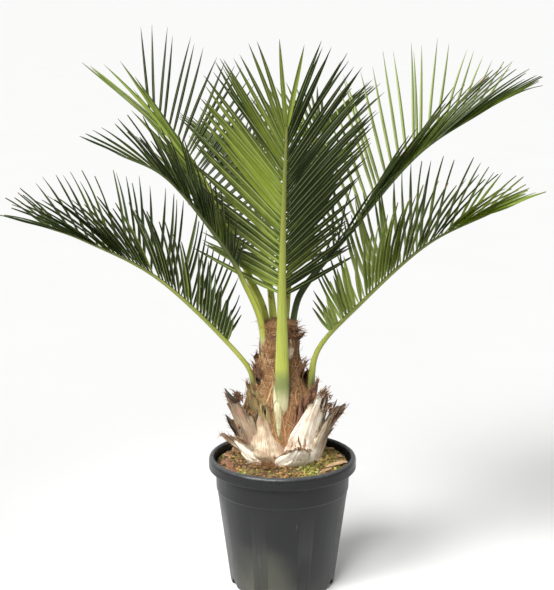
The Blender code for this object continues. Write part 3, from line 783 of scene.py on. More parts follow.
def make_grains(material):
    """Loose granules, browner on the left and greener where moss grows in front."""
    draw = random.Random(11)
    ball, faces = ball_shape()
    skin = Skin("tone")
    for _ in range(GRAINS):
        x, y = soil_spot(draw)
        size = draw.uniform(*GRAIN_SIZES) * (0.6 + 0.4 * draw.random())
        dents = np.array([draw.uniform(*GRAIN_DENTS) for _ in ball])[:, None]
        squash = [draw.uniform(*sizes) for sizes in (GRAIN_WIDTHS, GRAIN_WIDTHS, GRAIN_HEIGHTS)]
        turn = draw.uniform(0, math.tau)
        wide, deep, tall = (ball * dents * squash * size).T
        turned = np.stack([
            wide * math.cos(turn) - deep * math.sin(turn),
            wide * math.sin(turn) + deep * math.cos(turn), tall], axis=1)
        place = (x, y, crumbly_height(x, y) + size * GRAIN_LIFT)
        front = smooth_step(-y, 0.02, 0.10)
        tone = 0.17 + 0.22 * smooth_step(x, -0.08, 0.08) + 0.36 * front * mossy(x, y) + draw.gauss(0, 0.17)
        skin.add(turned + place, faces, [0] * len(faces), tone=tone)
    skin.piece("soil_granules", [material], "soil", sharp=60)


def make_moss(material):
    """Tufts of short moss shoots on the damp parts of the soil."""
    draw = random.Random(12)
    skin = Skin("tone", "along")
    grown = 0
    while grown < MOSS_TUFTS:
        x, y = soil_spot(draw)
        if draw.random() > mossy(x, y):
            continue
        grown += 1
        tone = draw.random()
        for _ in range(draw.randint(*MOSS_SHOOTS)):
            foot = Vector((x, y, 0)) + jitter(draw, MOSS_SPREAD)
            foot.z = crumbly_height(foot.x, foot.y) - MOSS_ROOT
            lean = (UP + jitter(draw, MOSS_LEAN)).normalized()
            tip = foot + lean * draw.uniform(*MOSS_LENGTHS)
            add_spike(skin, foot, tip, draw.uniform(*MOSS_RADII), tone=tone)
    skin.piece("moss", [material], "soil", sharp=60)


def add_spike(skin, foot, tip, radius, **marks):
    """A slender three-sided spike."""
    run = (tip - foot).normalized()
    side = run.orthogonal().normalized()
    other = run.cross(side)
    faces = [(0, 1, 3), (1, 2, 3), (2, 0, 3), (2, 1, 0)]
    points = [*thin_ring(foot, side, other, radius), tip]
    skin.add(points, faces, [0] * len(faces), along=[0, 0, 0, 1], **marks)


def make_chips(material):
    """Split pieces of bark and wood lying in the soil."""
    skin = Skin("tone", "along", "across")
    for k, (length, azimuth, distance, turn, width, tone) in enumerate(CHIPS):
        middle = on_circle(distance, math.radians(azimuth))
        middle.z = crumbly_height(middle.x, middle.y) + CHIP_LIFT
        heading = on_circle(1, math.radians(turn), CHIP_TILT)
        side = UP.cross(heading).normalized()
        shares = np.linspace(0, 1, CHIP_ROWS + 1)
        rings = []
        for share in shares:
            taper = min(1, 6 * share, 6 * (1 - share)) ** 0.5
            rough = rough_at(share * 5, k * 3.1, 0)
            centre = middle + heading * (length * (share - 0.5)) + side * (CHIP_BEND * rough)
            half = width / 2 * (0.35 + 0.65 * taper) * (1 + 0.25 * rough)
            thick = CHIP_HALF_THICKNESS * (0.3 + 0.7 * taper)
            ring = []
            for a in ring_angles(CHIP_SIDES):
                wide, tall = math.cos(a), math.sin(a)
                grain = 1 + 0.16 * rough_at(share * 3, wide * 4, tall * 4 + k)
                ring.append(centre + side * (half * grain * wide) + UP * (thick * grain * tall))
            rings.append(ring)
        across = np.cos(ring_angles(CHIP_SIDES))
        skin.add_loft(rings, along=shares * length * 40, across=across, tone=tone)
    skin.piece("bark_chips", [material], "soil", sharp=50)


# Stump, the same form as in the CAD

STUMP_PROFILE = (
    (0.102, 0.349), (0.109, 0.375), (0.105, 0.420), (0.097, 0.465), (0.083, 0.505), (0.064, 0.540),
    (0.053, 0.580), (0.048, 0.630), (0.045, 0.690),
)
STUMP_COLLAR_HEIGHT = 0.3435
STUMP_TOP = 0.697
STUMP_TOP_RADIUS = 0.030
STEM_CLEARANCE = 0.001
STEM_DISC = 0.01
CORE_ROWS = 150
CORE_SIDES = 180
CROWN_SHIFT = Vector((-0.008, 0.010, 0))
CROWN_SHIFT_HEIGHTS = (0.36, 0.60)
BARK_RELIEF = 0.003
FELT_RELIEF = 0.0012
FELT_DEPTH = 0.0008
WEAVE_RELIEF = 0.0005
LEAF_BASES = (
    # azimuth, foot height, height, width, lean outwards, turn to the side, bulge, narrowing, tearing, tone
    (280, 0.352, 0.056, 0.104, 42, 6, 0.008, 0.45, 0.06, 1.05),
    (256, 0.350, 0.026, 0.046, 26, 4, 0.004, 0.10, 0.45, 0.10),
    (224, 0.350, 0.068, 0.070, 34, -6, 0.008, 0.50, 0.08, 1.05),
    (200, 0.356, 0.060, 0.095, 44, -4, 0.000, 0.20, 0.30, 0.62),
    (244, 0.366, 0.116, 0.128, 0, -2, 0.016, 0.72, 0.10, 0.52),
    (303, 0.356, 0.190, 0.140, 10, 22, 0.000, 0.42, 0.18, 0.90),
    (334, 0.352, 0.158, 0.105, 20, 10, 0.000, 0.22, 0.45, 0.60),
    (352, 0.380, 0.110, 0.085, 30, 5, 0.000, 0.30, 0.40, 0.30),
    (216, 0.382, 0.146, 0.105, 18, -6, 0.000, 0.00, 0.24, 0.36),
    (165, 0.355, 0.090, 0.095, 26, 5, 0.000, 0.30, 0.30, 0.45),
    (120, 0.372, 0.120, 0.105, 8, -5, 0.006, 0.50, 0.20, 0.35),
    (72, 0.350, 0.085, 0.105, 30, 6, 0.000, 0.30, 0.30, 0.60),
    (30, 0.370, 0.120, 0.100, 12, -4, 0.004, 0.40, 0.25, 0.40),
)
LEAF_BASE_CUTS = 6
LEAF_BASE_THICKNESS = 0.014
LEAF_BASE_ROOT = 0.004
LEAF_BASE_CUPPING = 0.008
LEAF_BASE_SINK = 0.012
PLATE_ROWS = 20
PLATE_COLUMNS = 36
PLATE_CURL = 0.010
PLATE_FRAYS = 30
PLATE_FRAY_LENGTHS = (0.005, 0.022)
PLATE_FRAY_ROOT = 0.003
BROAD_RIDGES = 0.15
NARROW_RIDGES = 0.09
# Each leaf base is a thick plate with thinner sheath layers over and under it:
# offset outwards, share of its height, share of its width, share of its thickness, change of tone, slits
PLATE_LAYERS = (
    (0.000, 1.00, 1.00, 1.00, 0.00, 5),
    (0.0035, 0.50, 0.96, 0.22, -0.06, 7),
    (-0.006, 1.05, 0.86, 0.22, -0.40, 10),
    (-0.010, 1.12, 0.80, 0.14, -0.50, 14),
)
# Torn flaps of sheath high on the neck:
# azimuth, foot height, length, width, lean outwards, turn, tone
FLAPS = (
    (306, 0.655, 0.036, 0.034, 22, 16, 0.25),
    (322, 0.640, 0.038, 0.032, 42, 16, 0.05),
    (300, 0.600, 0.070, 0.026, 5, 8, 0.75),
    (336, 0.560, 0.040, 0.040, 30, 4, 0.15),
    (345, 0.500, 0.060, 0.045, 24, -8, 0.35),
    (205, 0.545, 0.050, 0.045, 22, 8, 0.10),
    (214, 0.500, 0.060, 0.050, 18, -6, 0.25),
    (296, 0.660, 0.026, 0.030, 12, -6, 0.10),
    (240, 0.655, 0.024, 0.036, 10, 4, 0.20),
    (225, 0.470, 0.070, 0.055, 12, -6, 0.30),
    (246, 0.440, 0.085, 0.050, 4, -4, 0.35),
    (300, 0.430, 0.085, 0.055, 5, 6, 0.20),
    (312, 0.470, 0.070, 0.055, 10, 6, 0.20),
    (150, 0.560, 0.050, 0.045, 24, 5, 0.15),
    (95, 0.600, 0.040, 0.045, 22, -5, 0.10),
    (45, 0.570, 0.046, 0.045, 26, 8, 0.15),
    (20, 0.480, 0.070, 0.055, 12, -4, 0.25),
    (130, 0.480, 0.070, 0.055, 12, 4, 0.25),
)
FLAP_THICKNESS = 0.0024
FLAP_BULGE = 0.006
FLAP_NARROWING = 0.1
FLAP_SLITS = 12
FLAP_TEARING = 0.5
FLAP_FRAYS = 36
SHREDS = 150
SHRED_ROWS = 12
HIGHEST_SHRED = 0.69
SHRED_FEET = (0.365, 0.50)
SHRED_LENGTHS = (0.04, 0.11)
SHRED_HALF_WIDTHS = (0.0010, 0.0027)
SHRED_LEANS = (-0.30, 0.30)
SHRED_LIFT = 0.0012
SHRED_WAVE = 0.0015
FLAT_SHRED = 0.002
SHRED_CURLS = (0.004, 0.018)
# Corners of a shred's section: place across it and distance off its middle
SHRED_SECTION = ((-1, 0.0), (-0.3, 0.0008), (0.3, 0.0006), (1, 0.0), (0.3, -0.0010), (-0.3, -0.0010))
HAIR_STEPS = 6
HAIR_DROOP = 0.05
HAIR_CURL = 0.22
HAIR_RADIUS = 0.0006
# Fibres that lie on the stump, wrapped round it or rising: how many, heights, spans round it, climbs
LYING_FIBRES = (
    (420, (0.50, 0.690), (0.8, 2.4), (-0.025, 0.025)),
    (620, (0.385, 0.62), (0.25, 1.1), (0.04, 0.12)),
)
LYING_STEPS = 16
LYING_RADII = (0.0003, 0.0008)
LYING_LIFTS = (0.0004, 0.0020)
LYING_RISE = 0.002
LYING_WAVE = 0.0008
LOWEST_FIBRE = 0.352
HIGHEST_FIBRE = 0.694
LOOSE_FIBRES = 150
LOOSE_LENGTHS = (0.010, 0.030)
LOOSE_ROOT = 0.001
NECK_END_HEIGHTS = (0.67, 0.695)
LOWER_HEIGHTS = (0.44, 0.66)
FRAYED_FIBRES = 60
FRAYED_LENGTHS = (0.008, 0.026)
FRAYED_SHARES = (0.01, 0.17)
# Tufts of stiff strands:
# azimuth, height, distance off the surface, strands, length, outwards, upwards, tone
TUFTS = (
    (317, 0.672, 0.000, 60, 0.036, 1.0, 0.35, 0.08),
    (300, 0.645, 0.000, 26, 0.022, 1.0, 0.10, 0.35),
    (212, 0.560, 0.002, 44, 0.032, 0.8, 0.90, 0.12),
    (338, 0.575, 0.002, 44, 0.030, 0.8, 0.80, 0.20),
    (210, 0.508, 0.040, 110, 0.022, 0.4, 0.90, 0.02),
    (255, 0.352, 0.018, 90, 0.020, 0.7, 0.70, 0.50),
    (246, 0.352, 0.020, 60, 0.018, 0.7, 0.50, 0.42),
    (338, 0.480, 0.034, 50, 0.024, 0.8, 0.80, 0.15),
    (324, 0.524, 0.062, 70, 0.018, 0.5, 0.90, 0.05),
    (235, 0.678, 0.000, 20, 0.018, 0.8, 0.50, 0.35),
    (60, 0.670, 0.000, 40, 0.028, 0.8, 0.60, 0.15),
    (150, 0.560, 0.000, 40, 0.028, 0.8, 0.60, 0.15),
)
TUFT_RADII = (0.0006, 0.0015)
TUFT_CURL = 0.08
TUFT_TURN = 7
TUFT_RISE = 0.006
TUFT_ROOT = 0.002
TUFT_SPREAD = 0.28


def crown_offset(height):
    """How far the stem's axis stands off the pot's axis at a height."""
    return CROWN_SHIFT * float(np.interp(height, CROWN_SHIFT_HEIGHTS, (0, 1)))


def stump_radius(height):
    """The stump's radius at a height, without its bark."""
    return interpolate([(z, radius) for radius, z in STUMP_PROFILE], height)


def on_stump(angle, height, out=0.0):
    """A point on the stump's surface, or off it by out."""
    relief = BARK_RELIEF * math.sin(5 * angle + 40 * height) * math.cos(3 * angle - 60 * height)
    return crown_offset(height) + on_circle(stump_radius(height) + out + relief, angle, height)


def felted_point(angle, height):
    """A point on the stem's matted and woven surface."""
    rough = rough_at(*on_circle(9, angle, height * 40))
    weave = math.sin(34 * angle + 260 * height) * math.sin(34 * angle - 260 * height)
    relief = FELT_RELIEF * rough + WEAVE_RELIEF * weave - FELT_DEPTH
    return on_stump(angle, height) + on_circle(1, angle) * relief


def make_core(material):
    """The felted stem that the leaf bases and fibres grow from."""
    foot = STEM_HOLE_RADIUS - STEM_CLEARANCE
    floor = STEM_HOLE_FLOOR + POT_GAP
    below = ((STEM_DISC, floor), (foot, floor), (foot, STUMP_COLLAR_HEIGHT))
    above = ((STUMP_TOP_RADIUS, STUMP_TOP), (STEM_DISC, STUMP_TOP))
    heights = np.linspace(STUMP_PROFILE[0][1], STUMP_PROFILE[-1][1], CORE_ROWS + 1)
    felt = [[felted_point(angle, height) for angle in ring_angles(CORE_SIDES)] for height in heights]
    top = turned_rings(above, CORE_SIDES) + np.array(crown_offset(STUMP_TOP))
    skin = Skin()
    skin.add_loft([*turned_rings(below, CORE_SIDES), *np.array(felt), *top])
    core = skin.piece("stump_core", [material], "stump", sharp=60)
    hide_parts("stump")


def plate_point(plate, across, up, top, out_by):
    """A point on a plate that clasps the stem, by its place across and up it and how far out it is."""
    azimuth, foot, height, width, lean, turn, bulge, narrowing = plate
    climb = up * (1 - (1 - top) * up)
    z = foot + height * climb * (1 - 0.10 * across * across)
    out = stump_radius(foot) + height * math.tan(math.radians(lean)) * climb ** 1.4
    out = max(out, stump_radius(z)) - LEAF_BASE_ROOT
    out += out_by + bulge * math.sin(math.pi * min(1, up)) ** 0.7 * (1 - across * across)
    out -= LEAF_BASE_CUPPING * across * across * up
    spread = width * (1 - narrowing * up ** 1.4) / 2 * across
    angle = math.radians(azimuth + turn * up) + spread / max(out, 0.04)
    return crown_offset(z) + on_circle(out, angle, z)


def torn_edge(draw, slits, depth):
    """How much of its height a plate keeps at each place across it: torn unevenly and slit in strips."""
    cuts = [draw.uniform(0, depth) for _ in range(LEAF_BASE_CUTS + 1)]
    # Each slit's place across, its reach to both sides and its depth
    strips = [(draw.uniform(-1, 1), draw.uniform(0.03, 0.09), draw.uniform(0.2, 1.1)) for _ in range(slits)]

    def kept(across):
        tear = float(np.interp(across, np.linspace(-1, 1, LEAF_BASE_CUTS + 1), cuts))
        for middle, reach, deep in strips:
            tear += depth * deep * max(0, 1 - abs(across - middle) / reach)
        tear += 0.04 * rough_at(across * 18, slits, cuts[0] * 90)
        return max(0.12, 1 - tear - 0.14 * abs(across) ** 3)

    return kept


def add_plate(skin, hairs, draw, plate, thickness, kept, tone, age, frays):
    """A fibrous plate with lengthwise ridges, curling strips and fibres hanging from its torn edge."""
    places = [2 * column / PLATE_COLUMNS - 1 for column in range(PLATE_COLUMNS + 1)]
    outer = []
    inner = []
    for row in range(PLATE_ROWS + 1):
        up = row / PLATE_ROWS
        outer.append([])
        inner.append([])
        for across in places:
            top = kept(across)
            half = thickness * (1 - 0.50 * across * across) * (1 - 0.60 * up) / 2
            ridge = rough_at(across * 7, up * 1.2, age * 23) * BROAD_RIDGES
            ridge += rough_at(across * 24, up * 2.0, age * 41) * NARROW_RIDGES
            curl = PLATE_CURL * up ** 3 * rough_at(across * 4, 1.0, age * 9)
            outer[-1].append(plate_point(plate, across, up, top, half + ridge * thickness + curl))
            inner[-1].append(plate_point(plate, across, up, top, curl - half))
    skin.add_loft(sheet_rings(outer, inner), across=there_and_back(places), tone=tone, age=age)
    for _ in range(frays):
        column = draw.randint(0, PLATE_COLUMNS - 1)
        start = outer[-1][column].lerp(inner[-1][column], 0.5)
        heading = (outer[-1][column] - outer[-3][column]).normalized() + jitter(draw, 0.3, 0.25)
        length = draw.uniform(*PLATE_FRAY_LENGTHS)
        start -= heading * PLATE_FRAY_ROOT
        add_hair(hairs, draw, start, heading, length, HAIR_RADIUS, draw.uniform(0.0, 0.8))


def make_leaf_bases(material, sheath, fibre):
    """The cut leaf bases in their sheath layers, and the torn flaps on the neck."""
    skin = Skin("along", "across", "tone", "age")
    flaps = Skin("along", "across", "tone", "age")
    hairs = Skin("tone", "along")
    for k, leaf_base in enumerate(LEAF_BASES):
        azimuth, foot, height, width, lean, turn, bulge, narrowing, tearing, tone = leaf_base
        foot -= LEAF_BASE_SINK
        height += LEAF_BASE_SINK
        for layer, (offset, tall, wide, thick, shade, slits) in enumerate(PLATE_LAYERS):
            draw = random.Random(10 * k + layer)
            side = azimuth + draw.uniform(-3, 3) * layer
            plate = (side, foot, height * tall, width * wide, lean, turn, bulge + offset, narrowing)
            kept = torn_edge(draw, slits, tearing * (1 + 0.5 * layer))
            age = (k + layer / 4) / 5
            thick *= LEAF_BASE_THICKNESS
            add_plate(skin, hairs, draw, plate, thick, kept, tone + shade, age, PLATE_FRAYS)
    for k, (azimuth, foot, length, width, lean, turn, tone) in enumerate(FLAPS):
        draw = random.Random(500 + k)
        kept = torn_edge(draw, FLAP_SLITS, FLAP_TEARING)
        plate = (azimuth, foot, length, width, lean, turn, FLAP_BULGE, FLAP_NARROWING)
        add_plate(flaps, hairs, draw, plate, FLAP_THICKNESS, kept, tone, 3 + k / 5, FLAP_FRAYS)
    skin.piece("leaf_bases", [material], "stump", sharp=55)
    flaps.piece("sheath_flaps", [sheath], "stump", sharp=55)
    hairs.piece("leaf_base_fibres", [fibre], "stump", sharp=80)


def make_shreds(material):
    """Narrow shreds of old sheath that stand against the stem between the leaf bases and the stalks."""
    draw = random.Random(31)
    skin = Skin("tone", "along")
    for k in range(SHREDS):
        angle = draw.uniform(0, math.tau)
        foot = draw.uniform(*SHRED_FEET)
        length = draw.uniform(*SHRED_LENGTHS)
        half = draw.uniform(*SHRED_HALF_WIDTHS)
        lean = draw.uniform(*SHRED_LEANS)
        curl = draw.choice((FLAT_SHRED, draw.uniform(*SHRED_CURLS)))
        rings = []
        for row in range(SHRED_ROWS + 1):
            share = row / SHRED_ROWS
            z = min(foot + length * share, HIGHEST_SHRED)
            wave = rough_at(share * 4, k * 1.7, 0)
            out = SHRED_LIFT + curl * share ** 3 + SHRED_WAVE * wave
            middle = angle + lean * share + 0.04 * wave
            breadth = half * (1 - 0.75 * share ** 2) / stump_radius(z)
            rings.append([on_stump(middle + side * breadth, z, out + rise) for side, rise in SHRED_SECTION])
        skin.add_loft(rings, tone=draw.uniform(0.0, 0.8))
    skin.piece("sheath_shreds", [material], "stump", sharp=50)


def make_front_sheath(green):
    """The pale sheath that runs from the foot of the front stalk down the stem, a little to its left."""
    wide, low, high, turn = FRONT_SHEATH
    azimuth = math.radians(FRONDS["frond_front"]["azimuth"] + turn)
    shares = np.linspace(0, 1, FRONT_SHEATH_ROWS + 1)
    places = np.linspace(-1, 1, FRONT_SHEATH_COLUMNS + 1)
    rings = []
    for share in shares:
        z = low + (high - low) * share
        half = wide * share ** 0.7 / stump_radius(z)
        ring = []
        for side in places:
            ridge = FRONT_SHEATH_RIDGES * rough_at(side * 8, share * 2, low)
            out = FRONT_SHEATH_LIFT + FRONT_SHEATH_SWELL * share * (1 - 0.7 * side * side) + ridge
            ring.append(on_stump(azimuth + half * side, z, out))
        ring += [on_stump(azimuth - half * side, z, -FRONT_SHEATH_ROOT) for side in places]
        rings.append(ring)
    skin = Skin("along", "across", "tone", "age")
    skin.add_loft(rings, along=PALE_FOOT * shares, across=there_and_back(places), tone=0.55, age=1)
    skin.piece("front_sheath", [green], "leaf", sharp=50)


def make_webs(fibre):
    """The torn webs beside the feet of the low stalks."""
    skin = Skin("tone", "along")
    draw = random.Random(41)
    for name, reach in WEB_REACHES.items():
        frond = FRONDS[name]
        rib = Rib(frond["azimuth"], frond["path"])
        for edge in (-1, 1):
            add_web(skin, draw, rib, frond, edge, reach)
    skin.piece("stalk_webs", [fibre], "stump", sharp=50)


def add_web(skin, draw, rib, frond, edge, reach):
    """A torn sheet of fibre between one edge of a stalk and the stem."""
    azimuth = math.radians(frond["azimuth"])
    kept = torn_edge(draw, WEB_SLITS, WEB_TEARING)
    fronts = []
    backs = []
    for row in range(WEB_ROWS + 1):
        fronts.append([])
        backs.append([])
        for column in range(WEB_COLUMNS + 1):
            away = column / WEB_COLUMNS
            up = row / WEB_ROWS * max(LEAST_WEB, kept(2 * away - 1) - 0.15 * math.sin(math.pi * away))
            place, along, upper, side = rib.at(WEB_START + reach * up)
            start = place + side * (edge * frond["half_widths"][0] * 0.8) + upper * WEB_LIFT
            stem = on_stump(azimuth + edge * WEB_TURN, start.z, WEB_OFF_STEM)
            point = start.lerp(stem, away)
            ripple = WEB_RIPPLE * rough_at(away * 5, up * 3, reach * 90 + edge)
            outwards = (side * edge - upper * 0.3).normalized()
            fronts[-1].append(point + outwards * (ripple + WEB_THICKNESS / 2))
            backs[-1].append(point + outwards * (ripple - WEB_THICKNESS / 2))
    skin.add_loft(sheet_rings(fronts, backs), tone=draw.uniform(0.2, 0.5))
    for _ in range(WEB_FRAYS):
        column = draw.randint(0, WEB_COLUMNS)
        heading = (fronts[-1][column] - fronts[-3][column]).normalized()
        heading += jitter(draw, 0.4, 0.3) + UP * 0.2
        start = fronts[-1][column] - heading * WEB_FRAY_ROOT
        length = draw.uniform(*WEB_FRAY_LENGTHS)
        add_hair(skin, draw, start, heading, length, WEB_HAIR_RADIUS, draw.uniform(0, 0.6))


def make_tufts(material):
    """Stiff dark tufts where old sheath margins have frayed."""
    draw = random.Random(51)
    skin = Skin("tone", "along")
    for azimuth, height, off, strands, length, outwards, upwards, tone in TUFTS:
        for _ in range(strands):
            angle = math.radians(azimuth + draw.gauss(0, TUFT_TURN))
            start = on_stump(angle, height + draw.gauss(0, TUFT_RISE), off - TUFT_ROOT)
            heading = on_circle(outwards, angle, upwards) + jitter(draw, TUFT_SPREAD, TUFT_SPREAD)
            size = length * draw.uniform(0.35, 1.1)
            shade = tone + draw.uniform(-0.1, 0.3)
            add_hair(skin, draw, start, heading, size, draw.uniform(*TUFT_RADII), shade, TUFT_CURL)
    skin.piece("sheath_tufts", [material], "stump", sharp=80)


def add_tube(skin, path, radius, **marks):
    """A thin three-sided strand along points, tapering to its end."""
    rings = []
    side = (path[1] - path[0]).orthogonal().normalized()
    last = len(path) - 1
    for k, point in enumerate(path):
        run = (path[min(last, k + 1)] - path[max(0, k - 1)]).normalized()
        side = (side - run * side.dot(run)).normalized()
        other = run.cross(side)
        thin = radius * (1 - 0.75 * (k / last) ** 2)
        rings.append(thin_ring(point, side, other, thin))
    skin.add_loft(rings, **marks)


def add_hair(skin, draw, start, heading, length, radius, tone, curl=HAIR_CURL):
    """A frayed fibre that leaves its start in a direction, curls and droops."""
    path = [start]
    run = heading.normalized()
    for _ in range(HAIR_STEPS):
        run = (run + jitter(draw, curl, curl) - UP * HAIR_DROOP).normalized()
        path.append(path[-1] + run * (length / HAIR_STEPS))
    add_tube(skin, path, radius, tone=tone)


def make_fibres(material):
    """The woven sheath round the neck and shoulders, with loose ends."""
    draw = random.Random(21)
    skin = Skin("tone", "along")
    for count, heights, spans, climbs in LYING_FIBRES:
        for _ in range(count):
            height = draw.uniform(*heights)
            angle = draw.uniform(0, math.tau)
            span = draw.uniform(*spans) * draw.choice((-1, 1))
            add_lying_fibre(skin, draw, angle, height, span, draw.uniform(*climbs))
    for _ in range(LOOSE_FIBRES):
        height = draw.choice((draw.uniform(*NECK_END_HEIGHTS), draw.uniform(*LOWER_HEIGHTS)))
        angle = draw.uniform(0, math.tau)
        start = on_stump(angle, height, -LOOSE_ROOT)
        heading = on_circle(1, angle, draw.uniform(0.0, 1.6))
        add_hair(skin, draw, start, heading, draw.uniform(*LOOSE_LENGTHS), HAIR_RADIUS, draw.random())
    for name in WEB_REACHES:
        fray_stalk(skin, draw, name)
    skin.piece("sheath_fibres", [material], "stump", sharp=80)


def fray_stalk(skin, draw, name):
    """The sheath's frayed margin on both sides of a stalk's foot."""
    frond = FRONDS[name]
    rib = Rib(frond["azimuth"], frond["path"])
    for _ in range(FRAYED_FIBRES):
        place, along, upper, side = rib.at(draw.uniform(*FRAYED_SHARES))
        edge = draw.choice((-1, 1))
        start = place + side * (edge * frond["half_widths"][0] * 0.9) + upper * (0.5 * frond["half_depth"])
        heading = upper * draw.uniform(0.3, 1.0)
        heading += side * (edge * draw.uniform(0.0, 0.8))
        heading += along * draw.uniform(-0.3, 1.0)
        add_hair(skin, draw, start, heading, draw.uniform(*FRAYED_LENGTHS), HAIR_RADIUS, draw.random())


def add_lying_fibre(skin, draw, angle, height, span, climb):
    """A strand that lies on the stump and waves a little."""
    phase = draw.uniform(0, math.tau)
    lift = draw.uniform(*LYING_LIFTS)
    path = []
    for k in range(LYING_STEPS + 1):
        share = k / LYING_STEPS
        z = height + climb * share + LYING_RISE * math.sin(7 * share + phase)
        z = min(HIGHEST_FIBRE, max(LOWEST_FIBRE, z))
        out = lift + LYING_WAVE * math.sin(11 * share + phase)
        path.append(on_stump(angle + span * share, z, out))
    add_tube(skin, path, draw.uniform(*LYING_RADII), tone=draw.random())


# Fronds, the same paths and leaflets as in the CAD

# A path has points from foot to tip: distance from the stem's axis and height. stalk is the share of it
# without leaflets. half_widths are at its foot, at two places up the stalk and at the first leaflets. Lifts
# are at the first, middle and last pair of leaflets, in degrees, and spread is added to their angle.
FRONDS = {
    "frond_front": dict(
        azimuth=275,
        path=((0.092, 0.450), (0.082, 0.530), (0.073, 0.640), (0.080, 0.830), (0.120, 1.025), (0.190, 1.205)),
        stalk=0.42, half_widths=(0.013, 0.0185, 0.0150, 0.0105), half_depth=0.009,
        pairs=29, leaflet=0.325, tip_leaflet=0.235, right_lift=(40, 34, 24), left_lift=(40, 34, 24),
        base_share=0.85),
    "frond_lower_left": dict(
        azimuth=190,
        path=((0.058, 0.430), (0.066, 0.530), (0.105, 0.613), (0.300, 0.812), (0.480, 0.915), (0.580, 0.955)),
        stalk=0.30, half_widths=(0.012, 0.014, 0.010, 0.0070), half_depth=0.0095,
        pairs=26, leaflet=0.262, tip_leaflet=0.140, right_lift=(56, 54, 40), left_lift=(52, 50, 30),
        right_spread=14, left_spread=-14),
    "frond_lower_right": dict(
        azimuth=352,
        path=((0.060, 0.425), (0.078, 0.520), (0.098, 0.625), (0.195, 0.738), (0.365, 0.900), (0.530, 0.988)),
        stalk=0.33, half_widths=(0.013, 0.017, 0.012, 0.008), half_depth=0.013,
        pairs=25, leaflet=0.262, tip_leaflet=0.140, right_lift=(48, 44, 26), left_lift=(56, 54, 36),
        right_spread=-6, left_spread=14),
    "frond_upper_left": dict(
        azimuth=140,
        path=((0.038, 0.610), (0.052, 0.710), (0.098, 0.790), (0.170, 0.922), (0.305, 1.087), (0.460, 1.195)),
        stalk=0.33, half_widths=(0.010, 0.013, 0.013, 0.009), half_depth=0.010,
        pairs=26, leaflet=0.335, tip_leaflet=0.350, right_lift=(62, 66, 68), left_lift=(-8, -6, 8),
        right_spread=24, left_spread=-44, right_size=0.80, left_size=1.15),
    "frond_mid_left": dict(
        azimuth=200,
        path=((0.038, 0.605), (0.050, 0.700), (0.088, 0.790), (0.144, 0.893), (0.284, 1.068), (0.410, 1.137)),
        stalk=0.36, half_widths=(0.010, 0.013, 0.013, 0.009), half_depth=0.010,
        pairs=22, leaflet=0.190, tip_leaflet=0.125, right_lift=(76, 72, 62), left_lift=(30, 28, 26),
        right_spread=-24, left_spread=-24),
    "frond_upper_right": dict(
        azimuth=36,
        path=((0.038, 0.615), (0.050, 0.720), (0.088, 0.782), (0.210, 0.887), (0.457, 1.088), (0.715, 1.200)),
        stalk=0.24, half_widths=(0.009, 0.011, 0.011, 0.008), half_depth=0.007,
        pairs=26, leaflet=0.325, tip_leaflet=0.215, right_lift=(48, 46, 34), left_lift=(60, 68, 68),
        right_spread=-8),
    "frond_back_right": dict(
        azimuth=72,
        path=((0.038, 0.600), (0.050, 0.690), (0.085, 0.800), (0.150, 0.940), (0.255, 1.080), (0.400, 1.180)),
        stalk=0.26, half_widths=(0.009, 0.010, 0.010, 0.008), half_depth=0.007,
        pairs=21, leaflet=0.280, tip_leaflet=0.170, right_lift=(40, 34, 22), left_lift=(40, 34, 22)),
    "frond_back": dict(
        azimuth=107,
        path=((0.038, 0.595), (0.052, 0.680), (0.090, 0.780), (0.165, 0.900), (0.300, 1.020), (0.460, 1.095)),
        stalk=0.26, half_widths=(0.009, 0.010, 0.010, 0.008), half_depth=0.007,
        pairs=20, leaflet=0.270, tip_leaflet=0.170, right_lift=(44, 40, 24), left_lift=(44, 40, 24)),
}
PATH_STEPS = 16
RIB_STATIONS = (0, 0.05, 0.10, 0.16, 0.22, 0.29, 0.37, 0.45, 0.53, 0.61, 0.69, 0.77, 0.85, 0.93, 1)
RIB_SECTION = ((-0.8, 0.6), (0.8, 0.6), (1, 0), (0.5, -1), (-0.5, -1), (-1, 0))
START_HALF_DEPTH = 0.007
MIDDLE_HALF_DEPTH = 0.0048
TIP_HALF_WIDTH = 0.0025
LAST_PAIR = 0.995
ROOT_DEPTH = 0.001
SPEAR_AZIMUTH = 275
SPEAR_PATH = ((0.000, 0.620), (0.002, 0.700), (0.006, 0.850), (0.014, 1.010))
SPEAR_HALF_WIDTH = 0.008
SPEAR_STATIONS = (0, 0.25, 0.5, 0.75, 1)
SPEAR_ROWS = 60
SPEAR_SIDES = 24
SPEAR_PLEAT = 0.86
BASE_SHARE = 0.38
LENGTH_SHARES = ((0.12, 0.72), (0.35, 1.0), (0.70, 0.96))
LEAST_ANGLE = 10
ANGLES_TO_RIB = ((0, 76), (0.25, 62), (0.60, 49), (0.85, 33), (1, 13))
LEAFLET_WIDTH = 0.0190
LEAFLET_RIDGE = 0.0017
LEAFLET_TWIST = 30
LEAFLET_DROOP = 0.07
BLADE_STATIONS = ((0, 0.42), (0.30, 1.0), (0.66, 0.78))
FREE_STATIONS = ((0.07, 0.55), (0.30, 1.0), (0.66, 0.78))
CLEARANCE = 0.0009
LENGTH_TRIES = (1.0, 0.86, 0.70, 0.52)
LIFT_TRIES = (0, 7, -7, 14, -14, 22, -22, 30, -30)
ANGLE_TRIES = (0, 5, -5)
